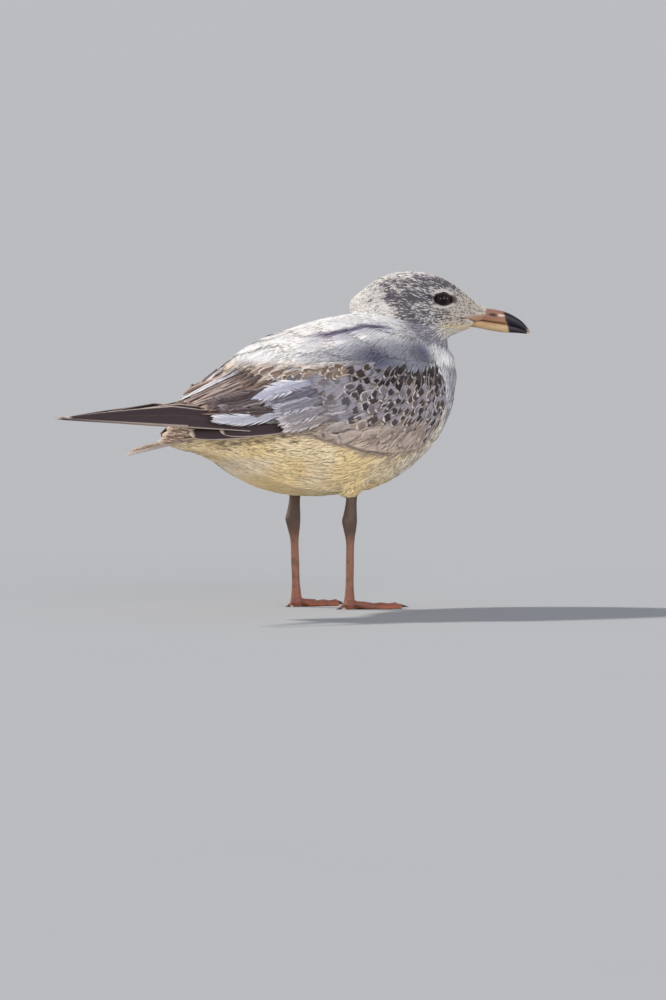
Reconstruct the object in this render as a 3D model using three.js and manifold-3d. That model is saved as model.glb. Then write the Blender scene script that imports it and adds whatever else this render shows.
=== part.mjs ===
// A ring-billed gull in its first winter, standing at rest with its head turned to its right.
//
// Every size is in millimetres. The bird's own frame runs f forward and l to its left from the
// point between its feet, and z up. In the model, forward is -Y and left is +X.

import * as THREE from 'three';
import { mergeVertices } from 'three/addons/utils/BufferGeometryUtils.js';
import Module from 'manifold-3d';

const wasm = await Module();
wasm.setup();

// ------------------------------------------------------------------ driving dimensions

const GAP = 0.3; // left between any two pieces that meet
const BOX_CENTRE_F = -56; // middle of the whole bird along f, which becomes the origin

const HEAD_TURN = THREE.MathUtils.degToRad(41); // of the head to the bird's right
const HEAD_SIDEWAYS = 58; // of the head's middle plane, from the point between the feet

// Trunk with mantle, scapulars and tail coverts: f, keel, widest level, back, half width.
const TRUNK_ROWS = [
  [-156, 131, 134, 137, 5],
  [-146, 127, 135, 146, 10],
  [-123, 122, 140, 165, 20],
  [-103, 115, 144, 181, 32],
  [-78, 101, 147, 196.5, 45],
  [-52, 91, 150, 210, 54],
  [-25, 86, 152, 218, 58],
  [0, 84, 153, 224, 60],
  [28, 85, 155, 228.5, 60],
  [52, 92, 159, 226, 57.5],
  [76, 104, 164, 219, 52.5],
  [94, 117, 169, 213, 45],
  [110, 134, 174, 206, 34],
  [120, 150, 177, 200, 23],
  [126, 165, 180, 193, 11],
];
const TRUNK_FULLNESS = 2.2; // 2 is an ellipse, more is squarer
const TRUNK_MIDDLE_Z = 150;
const RUMP_CUT_F = -96; // where the rump and tail coverts part from the trunk

// Neck, drawn in over the shoulders, at each level z: rear and front of the head's middle plane,
// how far sideways it sits, and half thickness.
const NECK_ROWS = [
  [165, 14, 92, 48, 36],
  [190, 9, 100, 49, 36],
  [205, 12, 101, 51, 33],
  [218, 18, 97, 54, 28.5],
  [230, 24, 88, 57, 23.5],
  [240, 32, 78, 58, 17],
];
const NECK_TRUNK_CUT = 207; // level where the neck parts from the trunk, at NECK_MIDDLE_F
const NECK_MIDDLE_F = 70;
const NECK_CUT_LEAN = THREE.MathUtils.degToRad(14);
const NECK_HEAD_CUT = 222; // level where the neck parts from the head, at NECK_TOP_H
const NECK_TOP_H = 62;
const HEAD_CUT_LEAN = THREE.MathUtils.degToRad(-12);

// Head along h, which runs from between the feet towards the bill: throat, widest level, crown,
// half width.
const HEAD_ROWS = [
  [22, 224, 229, 234, 6],
  [27, 218, 229, 239, 12],
  [36, 214, 230, 246.5, 16.5],
  [50, 210, 232, 255, 20],
  [70, 205, 232, 258, 20.8],
  [88, 203, 231, 255, 18.8],
  [99, 205, 229, 250, 16],
  [108, 209, 226.5, 243.8, 12.8],
  [116, 212.7, 224.5, 236.6, 9.6],
  [122, 216, 224.3, 231.6, 7.3],
  [128, 219.9, 225, 229.5, 5.7],
];

const EYE_H = 94;
const EYE_LEVEL = 236;
const EYE_RADIUS = 6.2;
const EYE_OFFSET = 12.2; // of the eyeball's centre from the head's middle plane

// Bill along h: lower edge, upper edge, half width.
const BILL_UPPER_ROWS = [
  [108, 221.2, 227.4, 4.6],
  [120, 219.4, 228.2, 4.8],
  [132, 217.8, 227.8, 4.6],
  [142, 216.2, 225.6, 4],
  [150, 214.4, 221.8, 3.3],
  [156, 211.8, 217.4, 2.3],
  [161, 208.9, 211.4, 0.7],
];
const BILL_LOWER_ROWS = [
  [108, 214.6, 221.1, 5],
  [119, 213.6, 219.1, 5],
  [132, 211, 217.3, 4.2],
  [143, 209.6, 215.6, 3.5],
  [150, 209.4, 213.8, 2.6],
  [156, 208.9, 211.2, 1.5],
  [159, 208.6, 209.9, 0.5],
];

// Folded wing on the trunk's side: f, lower edge, upper edge, stand of its surface off the trunk.
const WING_ROWS = [
  [-104, 143, 165, 4],
  [-90, 139, 177, 5],
  [-71, 136.5, 187, 5.5],
  [-44, 133, 194, 5.5],
  [-25, 126.5, 196, 5.5],
  [-5, 120.5, 197, 5.5],
  [20, 117.5, 197, 6],
  [46, 118, 196, 6.5],
  [64, 126, 193, 7],
  [76, 138, 188, 5.5],
  [84, 153, 180, 2.5],
];
const WING_DEPTH = 7; // reach of the blank into the trunk, where it is cut away

// Flight feathers are blades, thicker than real vanes so that they hold together in a stack.
const BLADE_THICKNESS = 1.1;

// Primaries of the right wing, outermost first: f and level of the tip, the length and width.
const PRIMARY_TIPS = [
  [-272, 155.4, 176, 18],
  [-266, 155.6, 168, 18],
  [-241, 154.6, 142, 19],
  [-199, 154, 110, 20],
  [-168, 156, 88, 21],
];
// Level and side of the outermost root, the steps from one root to the next, and the length over
// which a feather closes in from the wing to the middle plane.
const PRIMARY_ROOT = { level: 142, levelStep: 2.2, out: 40, outStep: -1, closing: 196, start: 0.1 };
const PRIMARY_TIP_OUT = { longest: 3, step: 3.2 }; // from the middle plane
const PRIMARY_LEAN = 0.55; // of a vane's upper edge towards the back
const PRIMARY_SAG = 1.5;
// Width at the very tip and its growth along the feather, with steps to the shorter ones.
const PRIMARY_POINT = { width: 2.2, widthStep: 1.1, slope: 0.125, slopeStep: 0.055 };
const POINT_STRAIGHT = 0.8; // 1 narrows a point from its upper edge alone

// Secondaries under them: f, level and side of the tip, then the length and width.
const SECONDARY_TIPS = [
  [-152, 140, 21, 90, 15],
  [-128, 142, 29, 74, 15],
];
const SECONDARY_ROOT = { out: 30, drop: 3 };

// The left wing is held a little further forward and lower than the right one.
const LEFT_WING = { forward: 8, lower: 1.5 };
const LEFT_TERTIALS = { forward: 13, lower: 4 };

// Tertials, lowest first: f, level and side of the tip, then the length and width.
const TERTIAL_TIPS = [
  [-134, 150, 31, 90, 23],
  [-142, 156, 26, 92, 27],
  [-151, 160, 20, 96, 29],
  [-149, 164.5, 13, 94, 31],
];

// Root of a tertial from its tip: further out and higher, by steps from the lowest upwards.
const TERTIAL_ROOT = { out: 17, outStep: -2, rise: 20, riseStep: 2.5 };
const TERTIAL_LEAN = { lowest: 0.35, step: 0.4 };
const TERTIAL_SAG = -3.5;

// Tail of twelve feathers in a narrow fan. It slopes down to the left, and its right edge turns up.
const TAIL_FEATHERS = 12;
const TAIL_ROOT = { f: -84, level: 141, half: 15 };
const TAIL_TIP = { f: -180, half: 24, corner: 3 };
const TAIL_FOLD = { l: -12, level: 132.6, upturn: 1.4, slope: 0.24, round: 3 };
const TAIL_FEATHER_WIDTH = 14;
const TAIL_SHINGLE = 0.9; // height of the middle feathers over the outer ones

// Legs: right, near f 6, and left, a little behind it.
const LEG_OUT = 27.5;
const LEGS = {
  right: { side: -1, ankleF: 6, footF: 5, splay: THREE.MathUtils.degToRad(6) },
  left: { side: 1, ankleF: -4, footF: -1, splay: THREE.MathUtils.degToRad(5) },
};
const ANKLE_LEVEL = 67.5;
const ANKLE_RISE = 5; // of the cut between shin and shank above the ankle
// Leg section by level: half thickness across, half thickness along f, step of its middle in f.
const LEG_ROWS = [
  [6, 3.8, 4.8, 0],
  [14, 2.9, 3.7, 0],
  [34, 2.7, 3.4, 0],
  [54, 3, 3.8, 0],
  [62, 4.4, 5.3, -0.4],
  [68, 5.2, 6.2, -0.8],
  [74, 4.5, 5.4, 0],
  [81, 3.8, 4.6, 0.8],
  [92, 3.8, 5, 2],
];
const LEG_TOP = 92;
const THIGH = { level: 100, out: 26, halfAlong: 14.5, halfAcross: 15, halfHigh: 15.8 };
const FOOT_TOP = 9.4; // level where the leg parts from the foot

// Toes: angle from the middle toe, length without claw, half thickness, claw length.
const TOES = {
  inner: { turn: THREE.MathUtils.degToRad(27), length: 34, half: 2.4, claw: 5 },
  middle: { turn: 0, length: 44, half: 2.6, claw: 6.5 },
  outer: { turn: THREE.MathUtils.degToRad(-25), length: 41, half: 2.4, claw: 5 },
};
const TOE_LIFT = 1.7; // of a toe's middle line, so that its underside is cut flat on the floor
const TOE_JOINTS = { count: 3, swell: 0.3 };
const TOE_TAPER = { root: 1.1, tip: 0.75 }; // of the half thickness
const INSTEP = 4.2; // rise of the toes towards the leg
const CLAW = { half: 1.1, rise: 0.35, drop: 0.9 };
// Hind toe: it slopes down from the heel, and its end and claw rest on the floor.
const HIND_TOE = { length: 8.5, half: 1.5, level: 6.6, endLevel: 1.1 };
const HIND_CLAW = { length: 3.5, half: 0.9, drop: 1.2 };
const KNUCKLE = { radius: 4.8, level: 4.2 };
const WEB_THICKNESS = 0.9;
const WEB_LEVEL = 0.5;
const WEB_REACH = 0.9; // share of each toe's length that carries the web
const WEB_HOLLOW = 0.72; // how far the web's front edge comes, as a share of its toes' mean

// ------------------------------------------------------------------ shape helpers

const at = (f, l, z) => new THREE.Vector3(l, -f, z);

/** Values between rows of [place, ...values], as a smooth function of the place. */
function smooth(rows) {
  const size = rows[0].length - 1;
  const places = rows.map((row) => row[0]);
  const values = rows.flatMap((row) => row.slice(1));
  const curve = new THREE.CubicInterpolant(places, values, size, new Float64Array(size));
  return (place) => Array.from(curve.evaluate(place));
}

/** A manifold solid from a closed geometry, its faces turned outwards. */
function solidOf(geometry) {
  geometry.deleteAttribute('normal');
  geometry.deleteAttribute('uv');
  const merged = mergeVertices(geometry, 1e-5);
  const vertProperties = new Float32Array(merged.attributes.position.array);
  const corner = (i) => new THREE.Vector3().fromArray(vertProperties, 3 * i);
  const index = Array.from(merged.index.array);
  const triangles = [];
  let volume = 0;
  for (let i = 0; i < index.length; i += 3) {
    const [a, b, c] = index.slice(i, i + 3);
    if (a === b || b === c || c === a) continue;
    triangles.push([a, b, c]);
    volume += corner(a).dot(corner(b).cross(corner(c)));
  }
  const turned = volume < 0 ? triangles.map(([a, b, c]) => [a, c, b]) : triangles;
  const triVerts = new Uint32Array(turned.flat());
  return new wasm.Manifold(new wasm.Mesh({ numProp: 3, vertProperties, triVerts }));
}

/** A closed loft: place(t, angle, reach) puts each point of a tube whose ends are capped. The
 *  reach is 1 on the surface and 0 at the middle of an end. */
function loft(around, along, place) {
  const tube = new THREE.CylinderGeometry(1, 1, 1, around, along);
  const points = tube.attributes.position;
  for (let i = 0; i < points.count; i++) {
    const reach = Math.round(Math.hypot(points.getX(i), points.getZ(i)));
    const turn = Math.atan2(points.getZ(i), points.getX(i)) / (2 * Math.PI);
    const step = (Math.round(turn * around) + around) % around;
    const t = Math.round((points.getY(i) + 0.5) * along) / along;
    const p = place(t, (step / around) * 2 * Math.PI, reach);
    points.setXYZ(i, p.x, p.y, p.z);
  }
  return solidOf(tube);
}

/** Crowds rings towards both ends of a loft, where it rounds off. */
const eased = (t) => (1 - Math.cos(Math.PI * t)) / 2;

/** A power of a sine or cosine that keeps its sign, for squarer ovals. */
const signed = (value, power) => Math.sign(value) * Math.abs(value) ** power;

/** A point of an oval section as [side, level]: half wide, from low to high, widest at mid. */
function oval(angle, reach, half, low, mid, high, fullness) {
  const side = signed(Math.cos(angle), 2 / fullness) * half * reach;
  const rise = signed(Math.sin(angle), 2 / fullness) * reach;
  return [side, mid + rise * (rise > 0 ? high - mid : mid - low)];
}

/** A box as large as the bird on the far side of a plane, to cut with. */
function halfSpace(point, normal) {
  const size = 900;
  const box = new THREE.BoxGeometry(size, size, size);
  const direction = normal.clone().normalize();
  box.applyQuaternion(new THREE.Quaternion().setFromUnitVectors(new THREE.Vector3(0, 0, 1), direction));
  const centre = point.clone().addScaledVector(direction, size / 2);
  box.translate(centre.x, centre.y, centre.z);
  return solidOf(box);
}

/** Parts a solid by a thin cut: the piece on the normal's side, then the other. */
function part(solid, point, normal) {
  const direction = normal.clone().normalize();
  const front = point.clone().addScaledVector(direction, GAP / 2);
  const back = point.clone().addScaledVector(direction, -GAP / 2);
  return [
    solid.intersect(halfSpace(front, direction)),
    solid.intersect(halfSpace(back, direction.clone().negate())),
  ];
}

const join = (solids) => solids.reduce((whole, solid) => whole.add(solid));

/** The largest body of a solid, without the slivers that a cut can leave. */
const largest = (solid) => solid.decompose().reduce((a, b) => (a.volume() >= b.volume() ? a : b));

// ------------------------------------------------------------------ trunk, neck and head

const trunkAt = smooth(TRUNK_ROWS);
const trunkEnds = [TRUNK_ROWS[0][0], TRUNK_ROWS.at(-1)[0]];

function trunkSolid(extra = 0) {
  return loft(22, 20, (t, angle, reach) => {
    const f = THREE.MathUtils.lerp(trunkEnds[0] - extra, trunkEnds[1] + extra, eased(t));
    const [keel, mid, back, half] = trunkAt(f);
    const [l, z] = oval(angle, reach, half + extra, keel - extra, mid, back + extra, TRUNK_FULLNESS);
    return at(f, l, z);
  });
}

/** Half width of the trunk at a place and level. */
function trunkSide(f, z) {
  const [keel, mid, back, half] = trunkAt(f);
  const rise = Math.min(1, Math.abs(z - mid) / (z > mid ? back - mid : mid - keel));
  return half * (1 - rise ** TRUNK_FULLNESS) ** (1 / TRUNK_FULLNESS);
}

/** A point given along the turned head: h towards the bill, s to the head's left, z up. */
function headPoint(h, s, z, sideways = HEAD_SIDEWAYS) {
  const out = sideways + s;
  const f = Math.cos(HEAD_TURN) * h + Math.sin(HEAD_TURN) * out;
  const l = -Math.sin(HEAD_TURN) * h + Math.cos(HEAD_TURN) * out;
  return at(f, l, z);
}

/** The feathered top of a leg, where it leaves the belly. */
function thighSolid(side, extra = 0) {
  const { right, left } = LEGS;
  const leg = side > 0 ? left : right;
  const ball = new THREE.SphereGeometry(1, 14, 8);
  ball.rotateX(Math.PI / 2);
  ball.scale(THIGH.halfAcross + extra, THIGH.halfAlong + extra, THIGH.halfHigh + extra);
  ball.translate(side * THIGH.out, -leg.ankleF, THIGH.level);
  return solidOf(ball);
}

function neckSolid(extra = 0) {
  const rows = smooth(NECK_ROWS);
  const [low, high] = [NECK_ROWS[0][0], NECK_ROWS.at(-1)[0]];
  return loft(18, 7, (t, angle, reach) => {
    const z = THREE.MathUtils.lerp(low, high, t);
    const [rear, front, sideways, thick] = rows(z);
    const [h, s] = oval(angle, reach, (front - rear) / 2 + extra, -thick - extra, 0, thick + extra, 2);
    return headPoint((front + rear) / 2 + h, s, z, sideways);
  });
}

function headSolid(extra = 0) {
  const rows = smooth(HEAD_ROWS);
  const [rear, front] = [HEAD_ROWS[0][0], HEAD_ROWS.at(-1)[0]];
  return loft(18, 13, (t, angle, reach) => {
    const h = THREE.MathUtils.lerp(rear - extra, front + extra, eased(t));
    const [throat, mid, crown, half] = rows(h);
    const [s, z] = oval(angle, reach, half + extra, throat - extra, mid, crown + extra, 2.1);
    return headPoint(h, s, z);
  });
}

// ------------------------------------------------------------------ bill and eyes

function mandible(rowsOf, extra = 0) {
  const rows = smooth(rowsOf);
  const [rear, tip] = [rowsOf[0][0], rowsOf.at(-1)[0]];
  return loft(10, 9, (t, angle, reach) => {
    const h = THREE.MathUtils.lerp(rear - extra, tip + extra, t);
    const [low, high, half] = rows(h);
    const [s, z] = oval(angle, reach, half + extra, low - extra, (low + high) / 2, high + extra, 2.4);
    return headPoint(h, s, z);
  });
}

function eyeball(side, extra = 0) {
  const ball = new THREE.SphereGeometry(EYE_RADIUS + extra, 12, 8);
  const centre = headPoint(EYE_H, side * EYE_OFFSET, EYE_LEVEL);
  ball.translate(centre.x, centre.y, centre.z);
  return solidOf(ball);
}

// ------------------------------------------------------------------ wings and feathers

/** The covered part of a folded wing: a shell that lies on the trunk's side. */
function wingBlank(side, extra = 0) {
  const rows = smooth(WING_ROWS);
  const [rear, front] = [WING_ROWS[0][0], WING_ROWS.at(-1)[0]];
  return loft(14, 14, (t, angle, reach) => {
    const f = THREE.MathUtils.lerp(rear - extra, front + extra, eased(t));
    const [low, high, stand] = rows(f);
    const across = signed(Math.cos(angle), 0.8) * reach;
    const out = signed(Math.sin(angle), 0.6) * reach;
    const z = (low + high) / 2 + across * ((high - low) / 2 + extra);
    const surface = trunkSide(f, z) + out * (out > 0 ? stand + extra : WING_DEPTH);
    return at(f, side * surface, z);
  });
}

/** A flight feather from root to tip. The vane spreads along a direction of its own and narrows
 *  to a round end, or with a point, over a long stretch and mostly from its upper edge. */
function blade({ root, tip, width, spread, sag = 0, extra = 0, steps = 7, point = null }) {
  const along = tip.clone().sub(root);
  const length = along.length();
  along.normalize();
  const side = spread.clone().addScaledVector(along, -spread.dot(along)).normalize();
  const face = new THREE.Vector3().crossVectors(along, side);
  return loft(6, steps, (t, angle, reach) => {
    const run = Math.sin((t * Math.PI) / 2); // rings crowd at the tip
    const round = Math.sqrt(Math.max(0.01, 1 - run ** 8));
    const full = width * (0.62 + 0.38 * Math.min(1, run * 2));
    const narrowed = point ? Math.min(full, point.width + point.slope * (1 - run) * length) : full;
    const raised = point ? (narrowed - point.width) * 0.5 * POINT_STRAIGHT : 0;
    const half = (narrowed / 2) * round + extra;
    const thick = (BLADE_THICKNESS / 2) * (1 - 0.4 * run) + extra;
    return root.clone()
      .addScaledVector(along, run * (length + extra))
      .addScaledVector(side, raised + Math.cos(angle) * half * reach)
      .addScaledVector(face, Math.sin(angle) * thick * reach + sag * Math.sin(Math.PI * run));
  });
}

function primaries(side) {
  const { forward, lower } = side > 0 ? LEFT_WING : { forward: 0, lower: 0 };
  const root = PRIMARY_ROOT;
  const secondaries = SECONDARY_TIPS.map(([tipF, level, out, length, width]) => blade({
    root: at(tipF + length, side * (out + SECONDARY_ROOT.out), level - SECONDARY_ROOT.drop),
    tip: at(tipF + forward, side * out, level - lower),
    width,
    spread: at(0, -side * PRIMARY_LEAN, 1),
  }));
  const longFeathers = PRIMARY_TIPS.map(([tipF, level, length, width], number) => {
    const tipOut = PRIMARY_TIP_OUT.longest + number * PRIMARY_TIP_OUT.step;
    const wingOut = root.out + number * root.outStep;
    const rootOut = THREE.MathUtils.lerp(tipOut, wingOut, length / root.closing + root.start);
    return blade({
      root: at(tipF + length, side * rootOut, root.level + number * root.levelStep),
      tip: at(tipF + forward, side * tipOut, level - lower),
      width,
      spread: at(0, -side * PRIMARY_LEAN, 1),
      sag: side * PRIMARY_SAG,
      point: {
        width: PRIMARY_POINT.width + number * PRIMARY_POINT.widthStep,
        slope: PRIMARY_POINT.slope + number * PRIMARY_POINT.slopeStep,
      },
    });
  });
  return join([...longFeathers, ...secondaries]);
}

function tertials(side, extra = 0) {
  const { forward, lower } = side > 0 ? LEFT_TERTIALS : { forward: 0, lower: 0 };
  return join(TERTIAL_TIPS.map(([tipF, level, out, length, width], number) => {
    const rootOut = out + TERTIAL_ROOT.out + number * TERTIAL_ROOT.outStep;
    const rootLevel = level + TERTIAL_ROOT.rise + number * TERTIAL_ROOT.riseStep;
    return blade({
      root: at(tipF + length, side * rootOut, rootLevel),
      tip: at(tipF + forward, side * out, level - lower),
      width,
      spread: at(0, -side * (TERTIAL_LEAN.lowest + TERTIAL_LEAN.step * number), 1),
      sag: side * TERTIAL_SAG,
      extra,
    });
  }));
}

/** Level and slope of the tail at its tips, l to the left. */
function tailSection(l) {
  const fold = TAIL_FOLD;
  const slope = l < fold.l ? fold.upturn : -fold.slope;
  const reach = Math.hypot(l - fold.l, fold.round);
  return [fold.level + slope * (reach - fold.round), (slope * (l - fold.l)) / reach];
}

function tail() {
  const feathers = Array.from({ length: TAIL_FEATHERS }, (_, number) => {
    const share = (2 * number) / (TAIL_FEATHERS - 1) - 1;
    const tipL = share * TAIL_TIP.half;
    const [level, slope] = tailSection(tipL);
    const shingle = TAIL_SHINGLE * (1 - Math.abs(share));
    return blade({
      root: at(TAIL_ROOT.f, share * TAIL_ROOT.half, TAIL_ROOT.level + shingle),
      tip: at(TAIL_TIP.f + TAIL_TIP.corner * share * share, tipL, level + shingle),
      width: TAIL_FEATHER_WIDTH,
      spread: at(0, 1, slope),
      steps: 3,
    });
  });
  return join(feathers);
}

// ------------------------------------------------------------------ legs and feet

function legSolid(leg) {
  const rows = smooth(LEG_ROWS);
  return loft(10, 13, (t, angle, reach) => {
    const z = THREE.MathUtils.lerp(LEG_ROWS[0][0], LEG_TOP, t);
    const [across, along, step] = rows(z);
    const rise = Math.min(1, z / ANKLE_LEVEL);
    const f = THREE.MathUtils.lerp(leg.footF, leg.ankleF, rise) + step;
    return at(f + Math.sin(angle) * along * reach,
      leg.side * LEG_OUT + Math.cos(angle) * across * reach, z);
  });
}

/** Direction of a toe on the floor; turns are towards the bird's middle plane. */
function toeDirection(leg, turn) {
  const angle = leg.side * (leg.splay - turn);
  return at(Math.cos(angle), Math.sin(angle), 0);
}

function toeSolid(leg, toe) {
  const root = at(leg.footF, leg.side * LEG_OUT, 0);
  const direction = toeDirection(leg, toe.turn);
  const across = new THREE.Vector3(0, 0, 1).cross(direction);
  return loft(8, 6, (t, angle, reach) => {
    const joints = TOE_JOINTS.swell * Math.cos(t * TOE_JOINTS.count * 2 * Math.PI);
    const half = toe.half * THREE.MathUtils.lerp(TOE_TAPER.root, TOE_TAPER.tip, t) + joints;
    const lift = TOE_LIFT + INSTEP * (1 - t) ** 4;
    return root.clone()
      .addScaledVector(direction, t * toe.length)
      .addScaledVector(across, Math.cos(angle) * half * reach)
      .add(new THREE.Vector3(0, 0, lift + Math.sin(angle) * half * reach));
  });
}

const aboveFloor = halfSpace(at(0, 0, 0), at(0, 0, 1));

/** The web between two toes, a plate with a hollow front edge. */
function webSolid(leg, first, second) {
  const corner = (toe, share) => {
    const p = toeDirection(leg, toe.turn).multiplyScalar(toe.length * share);
    return new THREE.Vector2(p.x, p.y);
  };
  const from = corner(first, WEB_REACH);
  const to = corner(second, WEB_REACH);
  const hollow = from.clone().add(to).multiplyScalar(0.5 * WEB_HOLLOW);
  const outline = new THREE.Shape();
  outline.moveTo(0, 0);
  outline.lineTo(from.x, from.y);
  outline.quadraticCurveTo(hollow.x, hollow.y, to.x, to.y);
  outline.closePath();
  const plate = new THREE.ExtrudeGeometry(outline,
    { depth: WEB_THICKNESS, bevelEnabled: false, curveSegments: 5 });
  plate.translate(leg.side * LEG_OUT, -leg.footF, WEB_LEVEL);
  return solidOf(plate);
}

/** A claw that hooks down over its length; its root is a flat disc. */
function clawSolid(root, direction, { length, half, drop }) {
  const across = new THREE.Vector3(0, 0, 1).cross(direction);
  return loft(6, 3, (t, angle, reach) => {
    const size = half * (1 - 0.82 * t);
    return root.clone()
      .addScaledVector(direction, t * length)
      .addScaledVector(across, Math.cos(angle) * size * reach)
      .add(new THREE.Vector3(0, 0, Math.sin(angle) * size * reach - drop * t * t));
  });
}

function hindToe(leg) {
  const { length, half, level, endLevel } = HIND_TOE;
  const root = at(leg.footF, leg.side * LEG_OUT, 0);
  const direction = toeDirection(leg, 0).negate();
  const across = new THREE.Vector3(0, 0, 1).cross(direction);
  return loft(8, 3, (t, angle, reach) => root.clone()
    .addScaledVector(direction, t * length)
    .addScaledVector(across, Math.cos(angle) * half * reach)
    .setZ(THREE.MathUtils.lerp(level, endLevel, t) + Math.sin(angle) * half * reach));
}

/** Toes, web and hind toe of one foot, cut flat on the floor. */
function footSolid(leg) {
  const { inner, middle, outer } = TOES;
  const knuckle = new THREE.SphereGeometry(KNUCKLE.radius, 8, 5);
  knuckle.translate(leg.side * LEG_OUT, -leg.footF, KNUCKLE.level);
  const whole = join([
    ...Object.values(TOES).map((toe) => toeSolid(leg, toe)),
    webSolid(leg, inner, middle),
    webSolid(leg, middle, outer),
    hindToe(leg),
    solidOf(knuckle),
    legSolid(leg).intersect(halfSpace(at(0, 0, FOOT_TOP - GAP), at(0, 0, -1))),
  ]);
  return largest(whole.intersect(aboveFloor));
}

function clawsOf(leg) {
  const root = at(leg.footF, leg.side * LEG_OUT, 0);
  const claws = Object.entries(TOES).map(([name, toe]) => {
    const direction = toeDirection(leg, toe.turn);
    const start = root.clone().addScaledVector(direction, toe.length + GAP);
    start.z = TOE_LIFT + CLAW.rise;
    return [name, clawSolid(start, direction, { ...CLAW, length: toe.claw })];
  });
  const back = toeDirection(leg, 0).negate();
  const start = root.clone().addScaledVector(back, HIND_TOE.length + GAP);
  start.z = HIND_TOE.endLevel;
  return [...claws, ['hind', clawSolid(start, back, HIND_CLAW).intersect(aboveFloor)]];
}

// ------------------------------------------------------------------ the whole bird, parted

const COLOURS = {
  white: 0xe9e4d9, mantle: 0xbfc2c6, neck: 0xb8b2aa, wing: 0x8d8680, dark: 0x2e2a28,
  brown: 0x5b4c40, tail: 0x6b5646, bill: 0xe0a084, eye: 0x120d0a, leg: 0xb58b7c, web: 0xa85a40,
};

const gull = new THREE.Group();
gull.position.y = BOX_CENTRE_F;

function addPiece(name, solid, colour, roughness = 0.8) {
  const { vertProperties, triVerts, numProp } = solid.getMesh();
  const geometry = new THREE.BufferGeometry();
  const points = new Float32Array((vertProperties.length / numProp) * 3);
  for (let i = 0; i < points.length / 3; i++) {
    points.set(vertProperties.subarray(i * numProp, i * numProp + 3), 3 * i);
  }
  geometry.setAttribute('position', new THREE.BufferAttribute(points, 3));
  geometry.setIndex(new THREE.BufferAttribute(triVerts, 1));
  geometry.computeVertexNormals();
  const material = new THREE.MeshStandardMaterial({ color: colour, roughness, metalness: 0 });
  const mesh = new THREE.Mesh(geometry, material);
  mesh.name = name;
  gull.add(mesh);
}

const sides = [['left', 1], ['right', -1]];
const up = new THREE.Vector3(0, 0, 1);

const billSpace = mandible(BILL_UPPER_ROWS, GAP).add(mandible(BILL_LOWER_ROWS, GAP));

// The feathered body is modelled whole, and then parted.
const bodyOf = (extra) => join([
  trunkSolid(extra), neckSolid(extra), headSolid(extra), thighSolid(1, extra), thighSolid(-1, extra),
]);
const body = bodyOf(0);
const bodySpace = bodyOf(GAP);
const neckLean = up.clone().applyAxisAngle(new THREE.Vector3(1, 0, 0), NECK_CUT_LEAN);
const headAxis = headPoint(1, 0, 0).sub(headPoint(0, 0, 0)).cross(up);
const headLean = up.clone().applyAxisAngle(headAxis, HEAD_CUT_LEAN);
const [aboveTrunk, belowNeck] = part(body, at(NECK_MIDDLE_F, 0, NECK_TRUNK_CUT), neckLean);
const [headBlank, neck] = part(aboveTrunk, headPoint(NECK_TOP_H, 0, NECK_HEAD_CUT), headLean);
const [trunk, rump] = part(belowNeck, at(RUMP_CUT_F, 0, TRUNK_MIDDLE_Z), at(1, 0, 0));

const eyeSpaces = eyeball(1, GAP).add(eyeball(-1, GAP));
addPiece('head', headBlank.subtract(billSpace).subtract(eyeSpaces), COLOURS.white);
addPiece('neck', neck, COLOURS.neck);
addPiece('trunk', trunk, COLOURS.mantle);
addPiece('rump', rump, COLOURS.white);
addPiece('bill_upper', mandible(BILL_UPPER_ROWS), COLOURS.bill, 0.4);
addPiece('bill_lower', mandible(BILL_LOWER_ROWS), COLOURS.bill, 0.4);
addPiece('tail', largest(tail().subtract(bodySpace)), COLOURS.tail);

for (const [name, side] of sides) {
  const ownSide = halfSpace(at(0, side, 0), at(0, side, 0));
  const wing = largest(wingBlank(side).subtract(bodySpace).intersect(ownSide));
  const wingSpace = wingBlank(side, GAP);
  const tertialSpace = tertials(side, GAP);
  addPiece(`eye_${name}`, eyeball(side), COLOURS.eye, 0.1);
  addPiece(`wing_${name}`, wing, COLOURS.wing);
  addPiece(`tertials_${name}`,
    largest(tertials(side).subtract(bodySpace).subtract(wingSpace)), COLOURS.brown);
  addPiece(`primaries_${name}`,
    largest(primaries(side).subtract(bodySpace).subtract(wingSpace).subtract(tertialSpace)),
    COLOURS.dark);
}

for (const [name, leg] of Object.entries(LEGS)) {
  const bare = legSolid(leg).subtract(bodySpace);
  const [tibia, lower] = part(bare, at(0, 0, ANKLE_LEVEL + ANKLE_RISE), up);
  const [tarsus] = part(lower, at(0, 0, FOOT_TOP), up);
  addPiece(`tibia_${name}`, largest(tibia), COLOURS.leg, 0.6);
  addPiece(`tarsus_${name}`, tarsus, COLOURS.leg, 0.6);
  addPiece(`foot_${name}`, footSolid(leg), COLOURS.web, 0.6);
  for (const [toe, claw] of clawsOf(leg)) addPiece(`claw_${name}_${toe}`, claw, COLOURS.dark, 0.4);
}

export default gull;
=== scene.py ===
"""A life-size young ring-billed gull, standing with its wings folded and its head turned.

Lengths are in millimetres until a mesh is made. The bird's own frame runs f forward and l to its
left from the point between its feet, and z up. The row frame is X = l, Y = -f - 56.
"""
import math
from itertools import product

import bmesh
import bpy
import numpy as np
from mathutils import Matrix, Vector
from mathutils.bvhtree import BVHTree
from mathutils.kdtree import KDTree


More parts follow.
